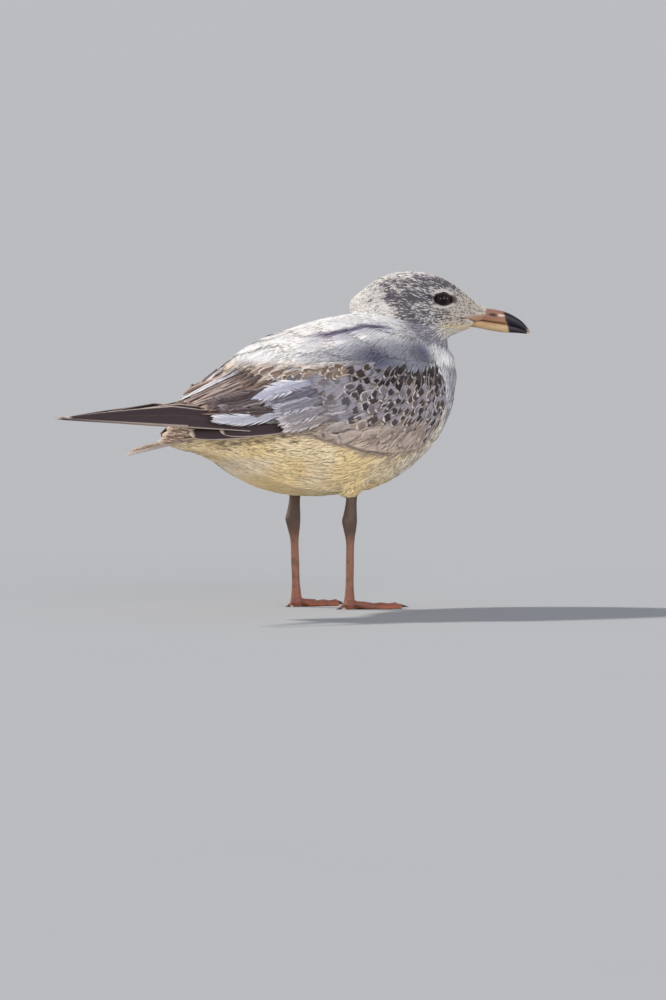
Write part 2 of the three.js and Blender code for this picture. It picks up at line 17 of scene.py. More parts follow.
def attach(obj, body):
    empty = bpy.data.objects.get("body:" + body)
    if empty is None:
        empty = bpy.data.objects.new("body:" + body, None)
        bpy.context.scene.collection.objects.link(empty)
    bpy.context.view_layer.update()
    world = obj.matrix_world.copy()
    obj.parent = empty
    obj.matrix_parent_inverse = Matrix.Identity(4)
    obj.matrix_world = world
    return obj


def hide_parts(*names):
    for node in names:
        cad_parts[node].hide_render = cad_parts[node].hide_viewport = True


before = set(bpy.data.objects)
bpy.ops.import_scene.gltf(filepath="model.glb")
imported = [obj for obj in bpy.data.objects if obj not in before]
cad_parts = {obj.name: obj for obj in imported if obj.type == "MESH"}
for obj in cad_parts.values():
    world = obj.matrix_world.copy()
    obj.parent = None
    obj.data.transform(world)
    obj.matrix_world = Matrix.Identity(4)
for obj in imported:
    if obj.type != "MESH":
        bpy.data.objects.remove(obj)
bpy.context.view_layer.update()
rng = np.random.default_rng(11)

# ------------------------------------------------------------------ driving dimensions

MM = 0.001
BOX_CENTRE_F = -56
HEAD_TURN = math.radians(41)
HEAD_COS, HEAD_SIN = math.cos(HEAD_TURN), math.sin(HEAD_TURN)
HEAD_SIDEWAYS = 58

EYE = {"h": 94, "z": 236, "radius": 6.2, "offset": 12.2}
EYE_OPENING = {"rear": 6.4, "front": 7.2, "up": 4.9, "down": 4.7}
BILL_BASE = (126, 0, 222)  # h, s, z of the point that the head's feathers lie away from
NECK_ROOT = (92, -3, 215)  # f, l, z of the point that the body's feathers lie away from

# Bill along h: lower edge, upper edge, half width.
BILL_UPPER_ROWS = [
    (108, 221.2, 227.4, 4.6), (120, 219.4, 228.2, 4.8), (132, 217.8, 227.8, 4.6),
    (142, 216.2, 225.6, 4), (150, 214.4, 221.8, 3.3), (156, 211.8, 217.4, 2.3),
    (161, 208.9, 211.4, 0.7),
]
BILL_LOWER_ROWS = [
    (108, 214.6, 221.1, 5), (119, 213.6, 219.1, 5), (132, 211, 217.3, 4.2),
    (143, 209.6, 215.6, 3.5), (150, 209.4, 213.8, 2.6), (156, 208.9, 211.2, 1.5),
    (159, 208.6, 209.9, 0.5),
]
BILL_ROOT_END = (128.5, 220.4, 228.0, 4.7)  # where the skin of the head ends on the bill
NOSTRIL = {"h": 132.5, "z": 223.4, "length": 8, "height": 1.5, "depth": 1.1}
TOMIUM_LAP = 0.9  # by which the lower mandible rises inside the upper one

# Right wing's primaries, outermost first: f and level of the tip, length and width.
PRIMARY_TIPS = [
    (-272, 155.4, 176, 18), (-266, 155.6, 168, 18), (-241, 154.6, 142, 19),
    (-199, 154, 110, 20), (-168, 156, 88, 21),
]
PRIMARY_ROOT = {"level": 142, "level_step": 2.2, "out": 40, "closing": 196, "start": 0.1}
PRIMARY_TIP_OUT = {"longest": 3, "step": 3.2}
# Width at the very tip and its growth along the feather, with steps to the shorter ones.
PRIMARY_POINT = {"width": 2.2, "width_step": 1.1, "slope": 0.105, "slope_step": 0.032}
POINT_STRAIGHT = 0.8
# Secondaries under them: f, level and side of the tip, then the length and width.
SECONDARY_TIPS = [(-152, 140, 21, 90, 15), (-128, 142, 29, 74, 15)]
SECONDARY_ROOT = {"out": 30, "drop": 3}
LEFT_WING = {"forward": 8, "lower": 1.5}
# Tertials, lowest first: f, level and side of the tip, then the length and width.
TERTIAL_TIPS = [
    (-134, 150, 31, 90, 23), (-142, 156, 26, 92, 27), (-151, 160, 20, 96, 29),
    (-149, 164.5, 13, 94, 31),
]
LEFT_TERTIALS = {"forward": 13, "lower": 4}

TAIL_FEATHERS = 12
TAIL_ROOT = {"f": -84, "level": 141, "half": 15}
TAIL_TIP = {"f": -180, "half": 24, "corner": 3}
TAIL_FOLD = {"l": -12, "level": 132.6, "upturn": 1.4, "slope": 0.24, "round": 3}
TAIL_FEATHER_WIDTH = 14
TAIL_LOOSE = 2.0  # drop of every second feather on the left of the tail

LEG_OUT = 27.5
LEGS = {
    "right": {"side": -1, "ankle_f": 6, "foot_f": 5, "splay": math.radians(6)},
    "left": {"side": 1, "ankle_f": -4, "foot_f": -1, "splay": math.radians(5)},
}
ANKLE_LEVEL = 67.5
LEG_ROWS = [
    (3, 4.6, 5.6, 0), (6, 3.8, 4.8, 0), (14, 2.9, 3.7, 0), (34, 2.7, 3.4, 0), (54, 3, 3.8, 0),
    (62, 4.4, 5.3, -0.4), (68, 5.2, 6.2, -0.8), (74, 4.5, 5.4, 0), (81, 3.8, 4.6, 0.8),
    (94, 3.8, 5, 2),
]
TOES = {
    "inner": {"turn": math.radians(27), "length": 34, "half": 2.4, "claw": 5},
    "middle": {"turn": 0, "length": 44, "half": 2.6, "claw": 6.5},
    "outer": {"turn": math.radians(-25), "length": 41, "half": 2.4, "claw": 5},
}
TOE_LIFT = 1.7
INSTEP = 4.2
KNUCKLE = {"radius": 4.8, "level": 4.2}
HIND_TOE = {"length": 8.5, "half": 1.5, "level": 6.6, "end_level": 1.1, "claw": 3.5}

COAT_DEPTH = {
    "head": 0.7, "neck": 1.3, "trunk": 1.6, "rump": 1.5, "wing_left": 1.6, "wing_right": 1.6,
}
FLESH = list(COAT_DEPTH)

# ------------------------------------------------------------------ colours, linear

WHITE = (0.86, 0.84, 0.82)
# Warm cream of the underparts, throat and under tail: partly the plumage's own buff, partly painted warm
# light bounced up from the ground.
CREAM_WITH_BOUNCE = (0.90, 0.71, 0.39)
DEEP_CREAM = (0.64, 0.46, 0.23)
STREAK = (0.065, 0.052, 0.080)
MANTLE_EDGE = (0.80, 0.80, 0.83)
# Painted shadow: the thin dark line along the fold between the mantle and the scapulars.
CREASE_SHADOW = (0.075, 0.05, 0.13)
# Painted shade: the violet grey that the pale grey scapulars take in the shade under the fold.
SCAPULAR_SHADE = (0.10, 0.104, 0.175)
TAUPE = (0.63, 0.51, 0.43)
COVERT_DARK = (0.022, 0.014, 0.016)
COVERT_BROWN = (0.13, 0.085, 0.065)
COVERT_EDGE = (0.78, 0.71, 0.71)
COVERT_GREY = (0.30, 0.28, 0.31)
PRIMARY = (0.050, 0.032, 0.036)
PRIMARY_EDGE = (0.66, 0.54, 0.48)
TERTIAL_EDGE = (0.46, 0.33, 0.27)
TAIL_BROWN = (0.22, 0.13, 0.10)
TAIL_EDGE = (0.90, 0.70, 0.53)
LEG_PINK = (0.27, 0.125, 0.083)
LEG_GREY = (0.072, 0.052, 0.040)
FOOT_RED = (0.27, 0.085, 0.055)
BILL_PINK = (0.33, 0.165, 0.115)
BILL_BLACK = (0.018, 0.014, 0.020)
BILL_TIP = (0.50, 0.36, 0.24)
BODY_SHADOW = (0.26, 0.20, 0.15)
HEAD_SHADE = (0.60, 0.58, 0.68)
HEAD_TONE = (0.13, 0.11, 0.17)
GAPE_SKIN = (0.50, 0.30, 0.20)
GAPE_DARK = (0.12, 0.055, 0.05)
NECK_SHADE = (0.52, 0.53, 0.60)
NECK_SPECK = (0.17, 0.145, 0.16)
NECK_TONE = (0.24, 0.23, 0.31)
BELLY_SPECK = (0.30, 0.21, 0.14)
SPOT = (0.13, 0.085, 0.06)
CREASE_SHADE = (0.30, 0.27, 0.42)
MANTLE_FLECK = (0.09, 0.08, 0.10)
MANTLE_WARM = (0.60, 0.47, 0.36)
WING_BROWN = (0.26, 0.20, 0.165)
WING_PALE = (0.60, 0.50, 0.40)
COVERT_REAR = (0.27, 0.25, 0.29)
COVERT_BASE = (0.34, 0.32, 0.37)
COVERT_REAR_EDGE = (0.78, 0.77, 0.82)
WING_FRONT_EDGE = (0.16, 0.12, 0.14)
BILL_TOP = (0.30, 0.15, 0.12)
BILL_STRAW = (0.48, 0.29, 0.16)
BILL_LOWER = (0.50, 0.32, 0.16)
BILL_LOWER_EDGE = (0.60, 0.45, 0.25)
BILL_GRAIN = (0.26, 0.13, 0.10)
# Painted shade in the nostril's hollow.
NOSTRIL_SHADE = (0.045, 0.022, 0.022)
# Painted highlight: light showing through the nostril.
BILL_PAINTED_HIGHLIGHT = (0.85, 0.70, 0.62)
# Painted shade along the groove behind the nostril.
BILL_GROOVE_SHADE = (0.12, 0.06, 0.05)
TOMIUM_DARK = (0.10, 0.045, 0.035)
SOLE = (0.50, 0.17, 0.07)
WEB_DARK = (0.16, 0.08, 0.06)


# ------------------------------------------------------------------ arithmetic

def unit(v):
    return v / np.maximum(np.linalg.norm(v, axis=-1, keepdims=True), 1e-9)


def dot(a, b):
    return np.sum(a * b, axis=-1, keepdims=True)


def ramp(low, high, value):
    """0 below low, 1 above high, smooth between."""
    t = np.clip((np.asarray(value, float) - low) / (high - low), 0, 1)
    return t * t * (3 - 2 * t)


def mix(a, b, share):
    share = np.asarray(share, float)
    return np.asarray(a, float) + (np.asarray(b, float) - np.asarray(a, float)) * share[..., None]


def noise(points, size, seed=0):
    """Smooth noise from 0 to 1, with features about size across."""
    q = np.asarray(points, float) / size + 0.37 * seed
    cell = np.floor(q).astype(np.int64)
    t = q - cell
    t = t * t * (3 - 2 * t)
    total = np.zeros(q.shape[:-1])
    for corner in product((0, 1), repeat=3):
        c = cell + corner
        n = (c[..., 0] * 73856093) ^ (c[..., 1] * 19349663) ^ (c[..., 2] * 83492791) ^ (seed * 2971)
        n = ((n ^ (n >> 13)) * 1274126177) & 0xFFFFFFFF
        value = ((n ^ (n >> 16)) & 0xFFFF) / 65535
        total += value * np.prod(np.where(corner, t, 1 - t), axis=-1)
    return total


def smooth(rows):
    """Values between rows of (place, ...values), as a smooth function of the place."""
    rows = np.array(rows, float)
    places, values = rows[:, 0], rows[:, 1:]
    slopes = np.gradient(values, places, axis=0)

    def at(place):
        place = np.asarray(place, float)
        i = np.clip(np.searchsorted(places, place) - 1, 0, len(places) - 2)
        span = (places[i + 1] - places[i])[..., None]
        t = (place - places[i])[..., None] / span
        a, b, c, d = 2 * t**3 - 3 * t**2 + 1, t**3 - 2 * t**2 + t, 3 * t**2 - 2 * t**3, t**3 - t**2
        ends = a * values[i] + b * span * slopes[i] + c * values[i + 1] + d * span * slopes[i + 1]
        return np.moveaxis(ends, -1, 0)

    return at


# ------------------------------------------------------------------ frames

def row(f, l, z):
    """Points of the row frame from the bird's own frame."""
    f, l, z = np.broadcast_arrays(f, l, z)
    return np.stack([l, BOX_CENTRE_F - f, z], -1).astype(float)


def direction(f, l, z):
    """A step in the row frame from one in the bird's own frame."""
    return row(f, l, z) - row(0, 0, 0)


def bird(points):
    return BOX_CENTRE_F - points[..., 1], points[..., 0], points[..., 2]


def head_row(h, s, z):
    """Points of the row frame from the turned head's: h towards the bill, s to its left, z up."""
    out = HEAD_SIDEWAYS + np.asarray(s, float)
    return row(HEAD_COS * h + HEAD_SIN * out, HEAD_COS * out - HEAD_SIN * h, z)


def head_direction(h, s, z):
    return head_row(h, s, z) - head_row(0, 0, 0)


def in_head(points):
    f, l, z = bird(points)
    return HEAD_COS * f - HEAD_SIN * l, HEAD_SIN * f + HEAD_COS * l - HEAD_SIDEWAYS, z


# ------------------------------------------------------------------ meshes and materials

def mesh_object(name, points, faces):
    """An object from points in millimetres and groups of faces, one array for each face size."""
    mesh = bpy.data.meshes.new(name)
    sizes = np.concatenate([np.full(len(group), group.shape[1]) for group in faces])
    corners = np.concatenate([np.asarray(group).ravel() for group in faces]).astype(np.int32)
    starts = np.concatenate([[0], np.cumsum(sizes)[:-1]]).astype(np.int32)
    mesh.vertices.add(len(points))
    mesh.vertices.foreach_set("co", (np.asarray(points) * MM).ravel())
    mesh.loops.add(len(corners))
    mesh.loops.foreach_set("vertex_index", corners)
    mesh.polygons.add(len(sizes))
    mesh.polygons.foreach_set("loop_start", starts)
    mesh.polygons.foreach_set("use_smooth", np.ones(len(sizes), bool))
    mesh.update(calc_edges=True)
    made = bpy.data.objects.new(name, mesh)
    bpy.context.scene.collection.objects.link(made)
    return made


def set_colour(thing, name, values):
    data = np.ones((len(values), 4))
    data[:, :3] = values
    thing.data.attributes.new(name, "FLOAT_COLOR", "POINT").data.foreach_set("color", data.ravel())


def set_vector(thing, name, values):
    data = np.ascontiguousarray(values, dtype=float)
    thing.data.attributes.new(name, "FLOAT_VECTOR", "POINT").data.foreach_set("vector", data.ravel())


def recalculated(thing):
    """Turns all faces outwards."""
    work = bmesh.new()
    work.from_mesh(thing.data)
    bmesh.ops.recalc_face_normals(work, faces=work.faces)
    work.to_mesh(thing.data)
    work.free()


def dress(made, material, nodes=()):
    """Gives a piece its material and the nodes that it stands for."""
    made.data.materials.clear()
    made.data.materials.append(material)
    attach(made, "root")
    if nodes:
        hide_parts(*nodes)


class Shader:
    """A node material that is put together step by step."""

    def __init__(self, name, **settings):
        self.material = bpy.data.materials.new(name)
        self.material.use_nodes = True
        self.tree = self.material.node_tree
        self.surface = self.tree.nodes["Principled BSDF"]
        for key, value in settings.items():
            self.surface.inputs[key.replace("_", " ")].default_value = value

    def node(self, kind, *values, out=0, **properties):
        made = self.tree.nodes.new("ShaderNode" + kind)
        for key, value in properties.items():
            setattr(made, key, value)
        for number, value in enumerate(values):
            self.put(made.inputs[number], value)
        return made.outputs[out]

    def put(self, socket, value):
        if isinstance(value, bpy.types.NodeSocket):
            self.tree.links.new(value, socket)
        elif value is not None:
            socket.default_value = value

    def attribute(self, name, out="Color"):
        return self.node("Attribute", attribute_name=name, out=out)

    def math(self, operation, *values):
        return self.node("Math", *values, operation=operation)

    def ramp(self, low, high, value):
        made = self.tree.nodes.new("ShaderNodeMapRange")
        made.interpolation_type = "SMOOTHSTEP"
        self.put(made.inputs["Value"], value)
        made.inputs["From Min"].default_value = low
        made.inputs["From Max"].default_value = high
        return made.outputs["Result"]

    def blend(self, share, a, b, kind="MIX"):
        made = self.tree.nodes.new("ShaderNodeMix")
        made.data_type = "RGBA"
        made.blend_type = kind
        self.put(made.inputs["Factor"], share)
        for socket in made.inputs:
            if socket.type == "RGBA":
                value = a if socket.name == "A" else b
                self.put(socket, value if isinstance(value, bpy.types.NodeSocket) else (*value, 1))
        return next(s for s in made.outputs if s.type == "RGBA")

    def noise(self, scale, detail=2, stretch=(1, 1, 1)):
        where = self.node("Mapping", self.node("TexCoord", out="Object"), None, None, stretch)
        made = self.tree.nodes.new("ShaderNodeTexNoise")
        self.put(made.inputs["Vector"], where)
        made.inputs["Scale"].default_value = scale
        made.inputs["Detail"].default_value = detail
        return made.outputs["Fac"]

    def colour(self, value):
        self.put(self.surface.inputs["Base Color"], value)

    def bump(self, height, distance, strength=1.0):
        made = self.tree.nodes.new("ShaderNodeBump")
        made.inputs["Distance"].default_value = distance * MM
        made.inputs["Strength"].default_value = strength
        self.put(made.inputs["Height"], height)
        self.put(self.surface.inputs["Normal"], made.outputs["Normal"])


def down_material(name, roughness=0.9):
    """Small body feathers: their own tint, mottled, with fine barbs."""
    shader = Shader(name, Roughness=roughness, Sheen_Weight=0.15, Sheen_Roughness=0.5,
                    Specular_IOR_Level=0.15)
    tint = shader.attribute("Tint")
    mottle = shader.ramp(0.25, 0.8, shader.noise(900, 3))
    shader.colour(shader.blend(mottle, shader.blend(0.18, tint, BODY_SHADOW, "MULTIPLY"), tint))
    shader.bump(shader.noise(2600, 3), 0.2, 0.35)
    return shader.material


def vane_material(name, fringe, tip, ragged, based=False, roughness=0.8, shaft=(0.12, 0.09, 0.07),
                  barb=0.07, streaks=0.0):
    """Broad feathers: a centre and a fringe, a shaft, and barbs at their real pitch."""
    shader = Shader(name, Roughness=roughness, Sheen_Weight=0.05, Sheen_Roughness=0.5,
                    Specular_IOR_Level=0.2)
    split = shader.node("SeparateXYZ", shader.attribute("Vane", "Vector"), out=0).node
    across = shader.math("ABSOLUTE", split.outputs["X"])
    along = split.outputs["Y"]
    size = shader.node("SeparateXYZ", shader.attribute("Barb", "Vector"), out=0).node
    slant = shader.math("MULTIPLY_ADD", shader.math("ABSOLUTE", size.outputs["X"]), 1.3, size.outputs["Y"])
    uneven = shader.math("MULTIPLY_ADD", shader.noise(700, 2), ragged, -ragged / 2)
    edge = shader.ramp(*fringe, shader.math("ADD", across, uneven))
    end = shader.ramp(*tip, shader.math("ADD", along, uneven))
    rim = shader.math("MAXIMUM", edge, end)
    centre = shader.attribute("Tint")
    if based:
        dark = shader.ramp(0.36, 0.50, shader.math("ADD", along, uneven))
        centre = shader.blend(dark, shader.attribute("Base"), centre)
    vane = shader.blend(rim, centre, shader.attribute("Fringe"))
    mottle = shader.ramp(0.2, 0.85, shader.noise(420, 4))
    vane = shader.blend(shader.math("MULTIPLY", mottle, 0.35), vane, (0.5, 0.46, 0.42), "MULTIPLY")
    if streaks:
        band = shader.tree.nodes.new("ShaderNodeTexNoise")
        band.noise_dimensions = "2D"
        band.inputs["Scale"].default_value = 1.0
        place = shader.node("CombineXYZ", shader.math("MULTIPLY", size.outputs["X"], 0.9),
                            shader.math("MULTIPLY", slant, 0.11), split.outputs["Z"])
        shader.put(band.inputs["Vector"], place)
        share = shader.math("MULTIPLY", shader.ramp(0.5, 0.62, band.outputs["Fac"]), streaks)
        vane = shader.blend(share, vane, shader.attribute("Fringe"))
    line = shader.math("SUBTRACT", 1, shader.ramp(0.015, 0.07, across))
    line = shader.math("MULTIPLY", line, shader.ramp(0.95, 0.6, along))
    shader.colour(shader.blend(shader.math("MULTIPLY", line, 0.45), vane, shaft))
    barbs = shader.math("SINE", shader.math("MULTIPLY", slant, 8.5))
    ridge = shader.math("MULTIPLY_ADD", line, 2.5, barbs)
    shader.bump(ridge, barb, 0.6)
    return shader.material


# ------------------------------------------------------------------ surfaces to grow feathers on

SCATTER_TRIES = 4  # candidate roots for each one that there is room for


class Surface:
    """A mesh of triangles with smooth normals, for scattering and for laying feathers along."""

    def __init__(self, points, triangles):
        self.points = points
        self.triangles = triangles
        a, b, c = (points[triangles[:, k]] for k in range(3))
        cross = np.cross(b - a, c - a)
        self.areas = np.linalg.norm(cross, axis=1) / 2
        normals = np.zeros_like(points)
        for k in range(3):
            np.add.at(normals, triangles[:, k], cross)
        self.normals = unit(normals)
        self.tree = BVHTree.FromPolygons(points.tolist(), triangles.tolist())

    def soften(self, rounds):
        """Evens the normals out, so that feathers follow the form and not each facet."""
        for _ in range(rounds):
            total = np.copy(self.normals)
            for k in range(3):
                for other in (1, 2):
                    np.add.at(total, self.triangles[:, k], self.normals[self.triangles[:, (k + other) % 3]])
            self.normals = unit(total)

    def normals_at(self, faces, places):
        corners = self.triangles[faces]
        a, b, c = (self.points[corners[:, k]] for k in range(3))
        whole = np.cross(b - a, c - a)
        area = np.maximum(dot(whole, whole), 1e-12)
        u = dot(np.cross(c - b, places - b), whole) / area
        v = dot(np.cross(a - c, places - c), whole) / area
        blend = self.normals[corners[:, 0]] * u + self.normals[corners[:, 1]] * v
        return unit(blend + self.normals[corners[:, 2]] * (1 - u - v))

    def nearest(self, places):
        found = [self.tree.find_nearest(Vector(p)) for p in places]
        points = np.array([hit[0] for hit in found])
        faces = np.array([hit[2] for hit in found])
        return points, self.normals_at(faces, points), faces

    def cast(self, starts, directions):
        """First hits of rays; misses are dropped. Gives points, normals and the numbers of the rays."""
        hits = [self.tree.ray_cast(Vector(a), Vector(d)) for a, d in zip(starts, directions)]
        good = [k for k, hit in enumerate(hits) if hit[0] is not None]
        points = np.array([hits[k][0] for k in good])
        faces = np.array([hits[k][2] for k in good])
        return points, self.normals_at(faces, points), np.array(good)

    def scatter(self, allowed, spacing):
        """Random roots on the allowed triangles, none nearer to another than its spacing."""
        faces = np.flatnonzero(allowed)
        weights = self.areas[faces] / spacing[faces] ** 2
        count = int(weights.sum() * SCATTER_TRIES)
        chosen = rng.choice(faces, count, p=weights / weights.sum())
        r1, r2 = np.sqrt(rng.random(count)), rng.random(count)
        corners = self.points[self.triangles[chosen]]
        places = (corners[:, 0] * (1 - r1)[:, None] + corners[:, 1] * (r1 * (1 - r2))[:, None]
                  + corners[:, 2] * (r1 * r2)[:, None])
        reach = spacing[chosen]
        cell = float(reach.max())
        grid, kept = {}, []
        keys = np.floor(places / cell).astype(int)
        around = list(product((-1, 0, 1), repeat=3))
        for k in range(count):
            key = tuple(keys[k])
            x, y, z = places[k]
            limit = reach[k] ** 2
            clear = True
            for step in around:
                for px, py, pz in grid.get((key[0] + step[0], key[1] + step[1], key[2] + step[2]), ()):
                    if (px - x) ** 2 + (py - y) ** 2 + (pz - z) ** 2 < limit:
                        clear = False
                        break
                if not clear:
                    break
            if clear:
                grid.setdefault(key, []).append((x, y, z))
                kept.append(k)
        kept = np.array(kept)
        return places[kept], self.normals_at(chosen[kept], places[kept]), chosen[kept]


# ------------------------------------------------------------------ lofts

def lofted(place, around, along):
    """Points and faces of a closed loft; place(t, angle, reach) takes arrays. Its ends are fans."""
    t = np.linspace(0, 1, along)
    angle = np.arange(around) / around * 2 * math.pi
    grid_t, grid_angle = np.meshgrid(t, angle, indexing="ij")
    body = place(grid_t.ravel(), grid_angle.ravel(), np.ones(grid_t.size))
    ends = place(np.array([0.0, 1.0]), np.zeros(2), np.zeros(2))
    quads = []
    for k in range(along - 1):
        for i in range(around):
            a, b = k * around + i, k * around + (i + 1) % around
            quads.append((a, b, b + around, a + around))
    first, last = along * around, along * around + 1
    top = (along - 1) * around
    tris = [((i + 1) % around, i, first) for i in range(around)]
    tris += [(top + i, top + (i + 1) % around, last) for i in range(around)]
    return np.concatenate([body, ends]), [np.array(quads), np.array(tris)]


def signed(value, power):
    return np.sign(value) * np.abs(value) ** power


def mandible(rows):
    at = smooth(rows)
    rear, tip = rows[0][0], rows[-1][0]

    def place(t, angle, reach):
        h = rear + (tip - rear) * t
        low, high, half = at(h)
        s = signed(np.cos(angle), 2 / 2.3) * half * reach
        z = (low + high) / 2 + signed(np.sin(angle), 2 / 2.2) * (high - low) / 2 * reach
        return head_row(h, s, z)

    return lofted(place, 40, 90)


# ------------------------------------------------------------------ the skin

def joined_nodes(names):
    """Points and polygons of several nodes together, and each node's own tree."""
    points, polygons, trees = [], [], {}
    start = 0
    for name in names:
        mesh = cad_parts[name].data
        own = np.empty(len(mesh.vertices) * 3)
        mesh.vertices.foreach_get("co", own)
        own = own.reshape(-1, 3) / MM
        faces = [list(p.vertices) for p in mesh.polygons]
        trees[name] = BVHTree.FromPolygons(own.tolist(), faces)
        points.append(own)
        polygons += [[start + v for v in face] for face in faces]
        start += len(own)
    return np.concatenate(points), polygons, trees


def triangles_of(mesh):
    mesh.calc_loop_triangles()
    out = np.empty(len(mesh.loop_triangles) * 3, np.int32)
    mesh.loop_triangles.foreach_get("vertices", out)
    return out.reshape(-1, 3)


def remeshed(name, points, polygons, voxel, rounds):
    """One closed body from overlapping ones, smoothed."""
    mesh = bpy.data.meshes.new(name)
    mesh.from_pydata((np.asarray(points) * MM).tolist(), [], polygons)
    made = bpy.data.objects.new(name, mesh)
    bpy.context.scene.collection.objects.link(made)
    remesh = made.modifiers.new("remesh", "REMESH")
    remesh.mode = "VOXEL"
    remesh.voxel_size = voxel * MM
    even = made.modifiers.new("even", "SMOOTH")
    even.factor = 0.5
    even.iterations = rounds
    evaluated = made.evaluated_get(bpy.context.evaluated_depsgraph_get())
    result = bpy.data.meshes.new_from_object(evaluated)
    made.modifiers.clear()
    made.data = result
    made.data.polygons.foreach_set("use_smooth", np.ones(len(result.polygons), bool))
    return made


def points_of(thing):
    out = np.empty(len(thing.data.vertices) * 3)
    thing.data.vertices.foreach_get("co", out)
    return out.reshape(-1, 3) / MM


def set_points(thing, points):
    thing.data.vertices.foreach_set("co", (points * MM).ravel())
    thing.data.update()


def eye_measure(points):
    """Distance from the eye as a share of its opening, which is a pointed oval, on either side."""
    h, s, z = in_head(points)
    dh, dz = h - EYE["h"], z - EYE["z"] + 0.06 * (h - EYE["h"])
    across = np.where(dh > 0, dh / EYE_OPENING["front"], dh / EYE_OPENING["rear"])
    up = np.where(dz > 0, dz / EYE_OPENING["up"], dz / EYE_OPENING["down"])
    share = (np.abs(across) ** 1.7 + np.abs(up) ** 2) ** 0.54
    return np.where(np.abs(s) > 6, share, 9.0)


def make_skin():
    points, polygons, trees = joined_nodes(FLESH)
    base, groups = mandible(BILL_UPPER_ROWS[:2] + [BILL_ROOT_END])
    polygons += [[len(points) + int(v) for v in face] for group in groups for face in group]
    points = np.concatenate([points, base])
    skin = remeshed("skin", points, polygons, 1.5, 5)
    places = points_of(skin)
    tris = triangles_of(skin.data)
    distances = np.array([[trees[name].find_nearest(Vector(p))[3] for name in FLESH] for p in places])
    owner = distances.argmin(axis=1)
    depth = np.array([COAT_DEPTH[name] for name in FLESH])
    near = 1 / (distances + 0.7) ** 3
    depths = (near * depth).sum(1) / near.sum(1)
    surface = Surface(places, tris)
    surface.soften(3)
    hollow = 4.2 * ramp(1.12, 0.8, eye_measure(places)) * (owner == 0)
    places = places - surface.normals * (depths + hollow)[:, None]
    set_points(skin, places)
    grown = Surface(places, tris)
    grown.soften(6)
    return skin, grown, owner


# ------------------------------------------------------------------ markings, for skin and coat

def streaks(p, long, wide, seed):
    """Noise drawn out along the lie of the head's feathers, which run away from the bill."""
    h, s, z = in_head(p)
    reach = np.hypot(h - BILL_BASE[0], z - BILL_BASE[2])
    turn = np.arctan2(z - BILL_BASE[2], BILL_BASE[0] - h)
    place = np.stack([reach / long, turn * 48 / wide, s / (2.2 * wide)], -1)
    return noise(place, 1.0, seed)


def near_line(h, z, line, width):
    """1 on a run of (h, z) points, falling to 0 at a width from it."""
    best = np.full(np.shape(h), 1e9)
    for (h0, z0), (h1, z1) in zip(line, line[1:]):
        dh, dz = h1 - h0, z1 - z0
        share = np.clip(((h - h0) * dh + (z - z0) * dz) / (dh * dh + dz * dz), 0, 1)
        best = np.minimum(best, np.hypot(h - h0 - share * dh, z - z0 - share * dz))
    return ramp(width, 0.25 * width, best)


# Dark collar from behind the ear coverts down to the throat's side, and the line from the eye.
COLLAR = [(50, 244), (58, 232), (68, 222), (82, 211), (96, 202)]
EYE_LINE = [(50, 240), (66, 238), (84, 237)]
CHEEK_LINE = [(70, 222), (84, 222.5), (98, 224)]

# Bare skin at the corner of the mouth: its upper and lower borders, and the line of the gape.
GAPE_TOP = [(106, 221.9), (112.8, 223.0), (129, 224.0)]
GAPE_BOTTOM = [(106, 221.3), (114.7, 219.6), (119.4, 216.6), (123, 213.4), (125, 210)]
GAPE_LINE = [(106.5, 221.4), (112, 220.8), (119, 218.4)]


def bare_gape(h, z):
    top = np.interp(h, *zip(*GAPE_TOP))
    bottom = np.interp(h, *zip(*GAPE_BOTTOM))
    return ramp(0, 0.7, top - z) * ramp(0, 0.7, z - bottom) * (h > GAPE_TOP[0][0])


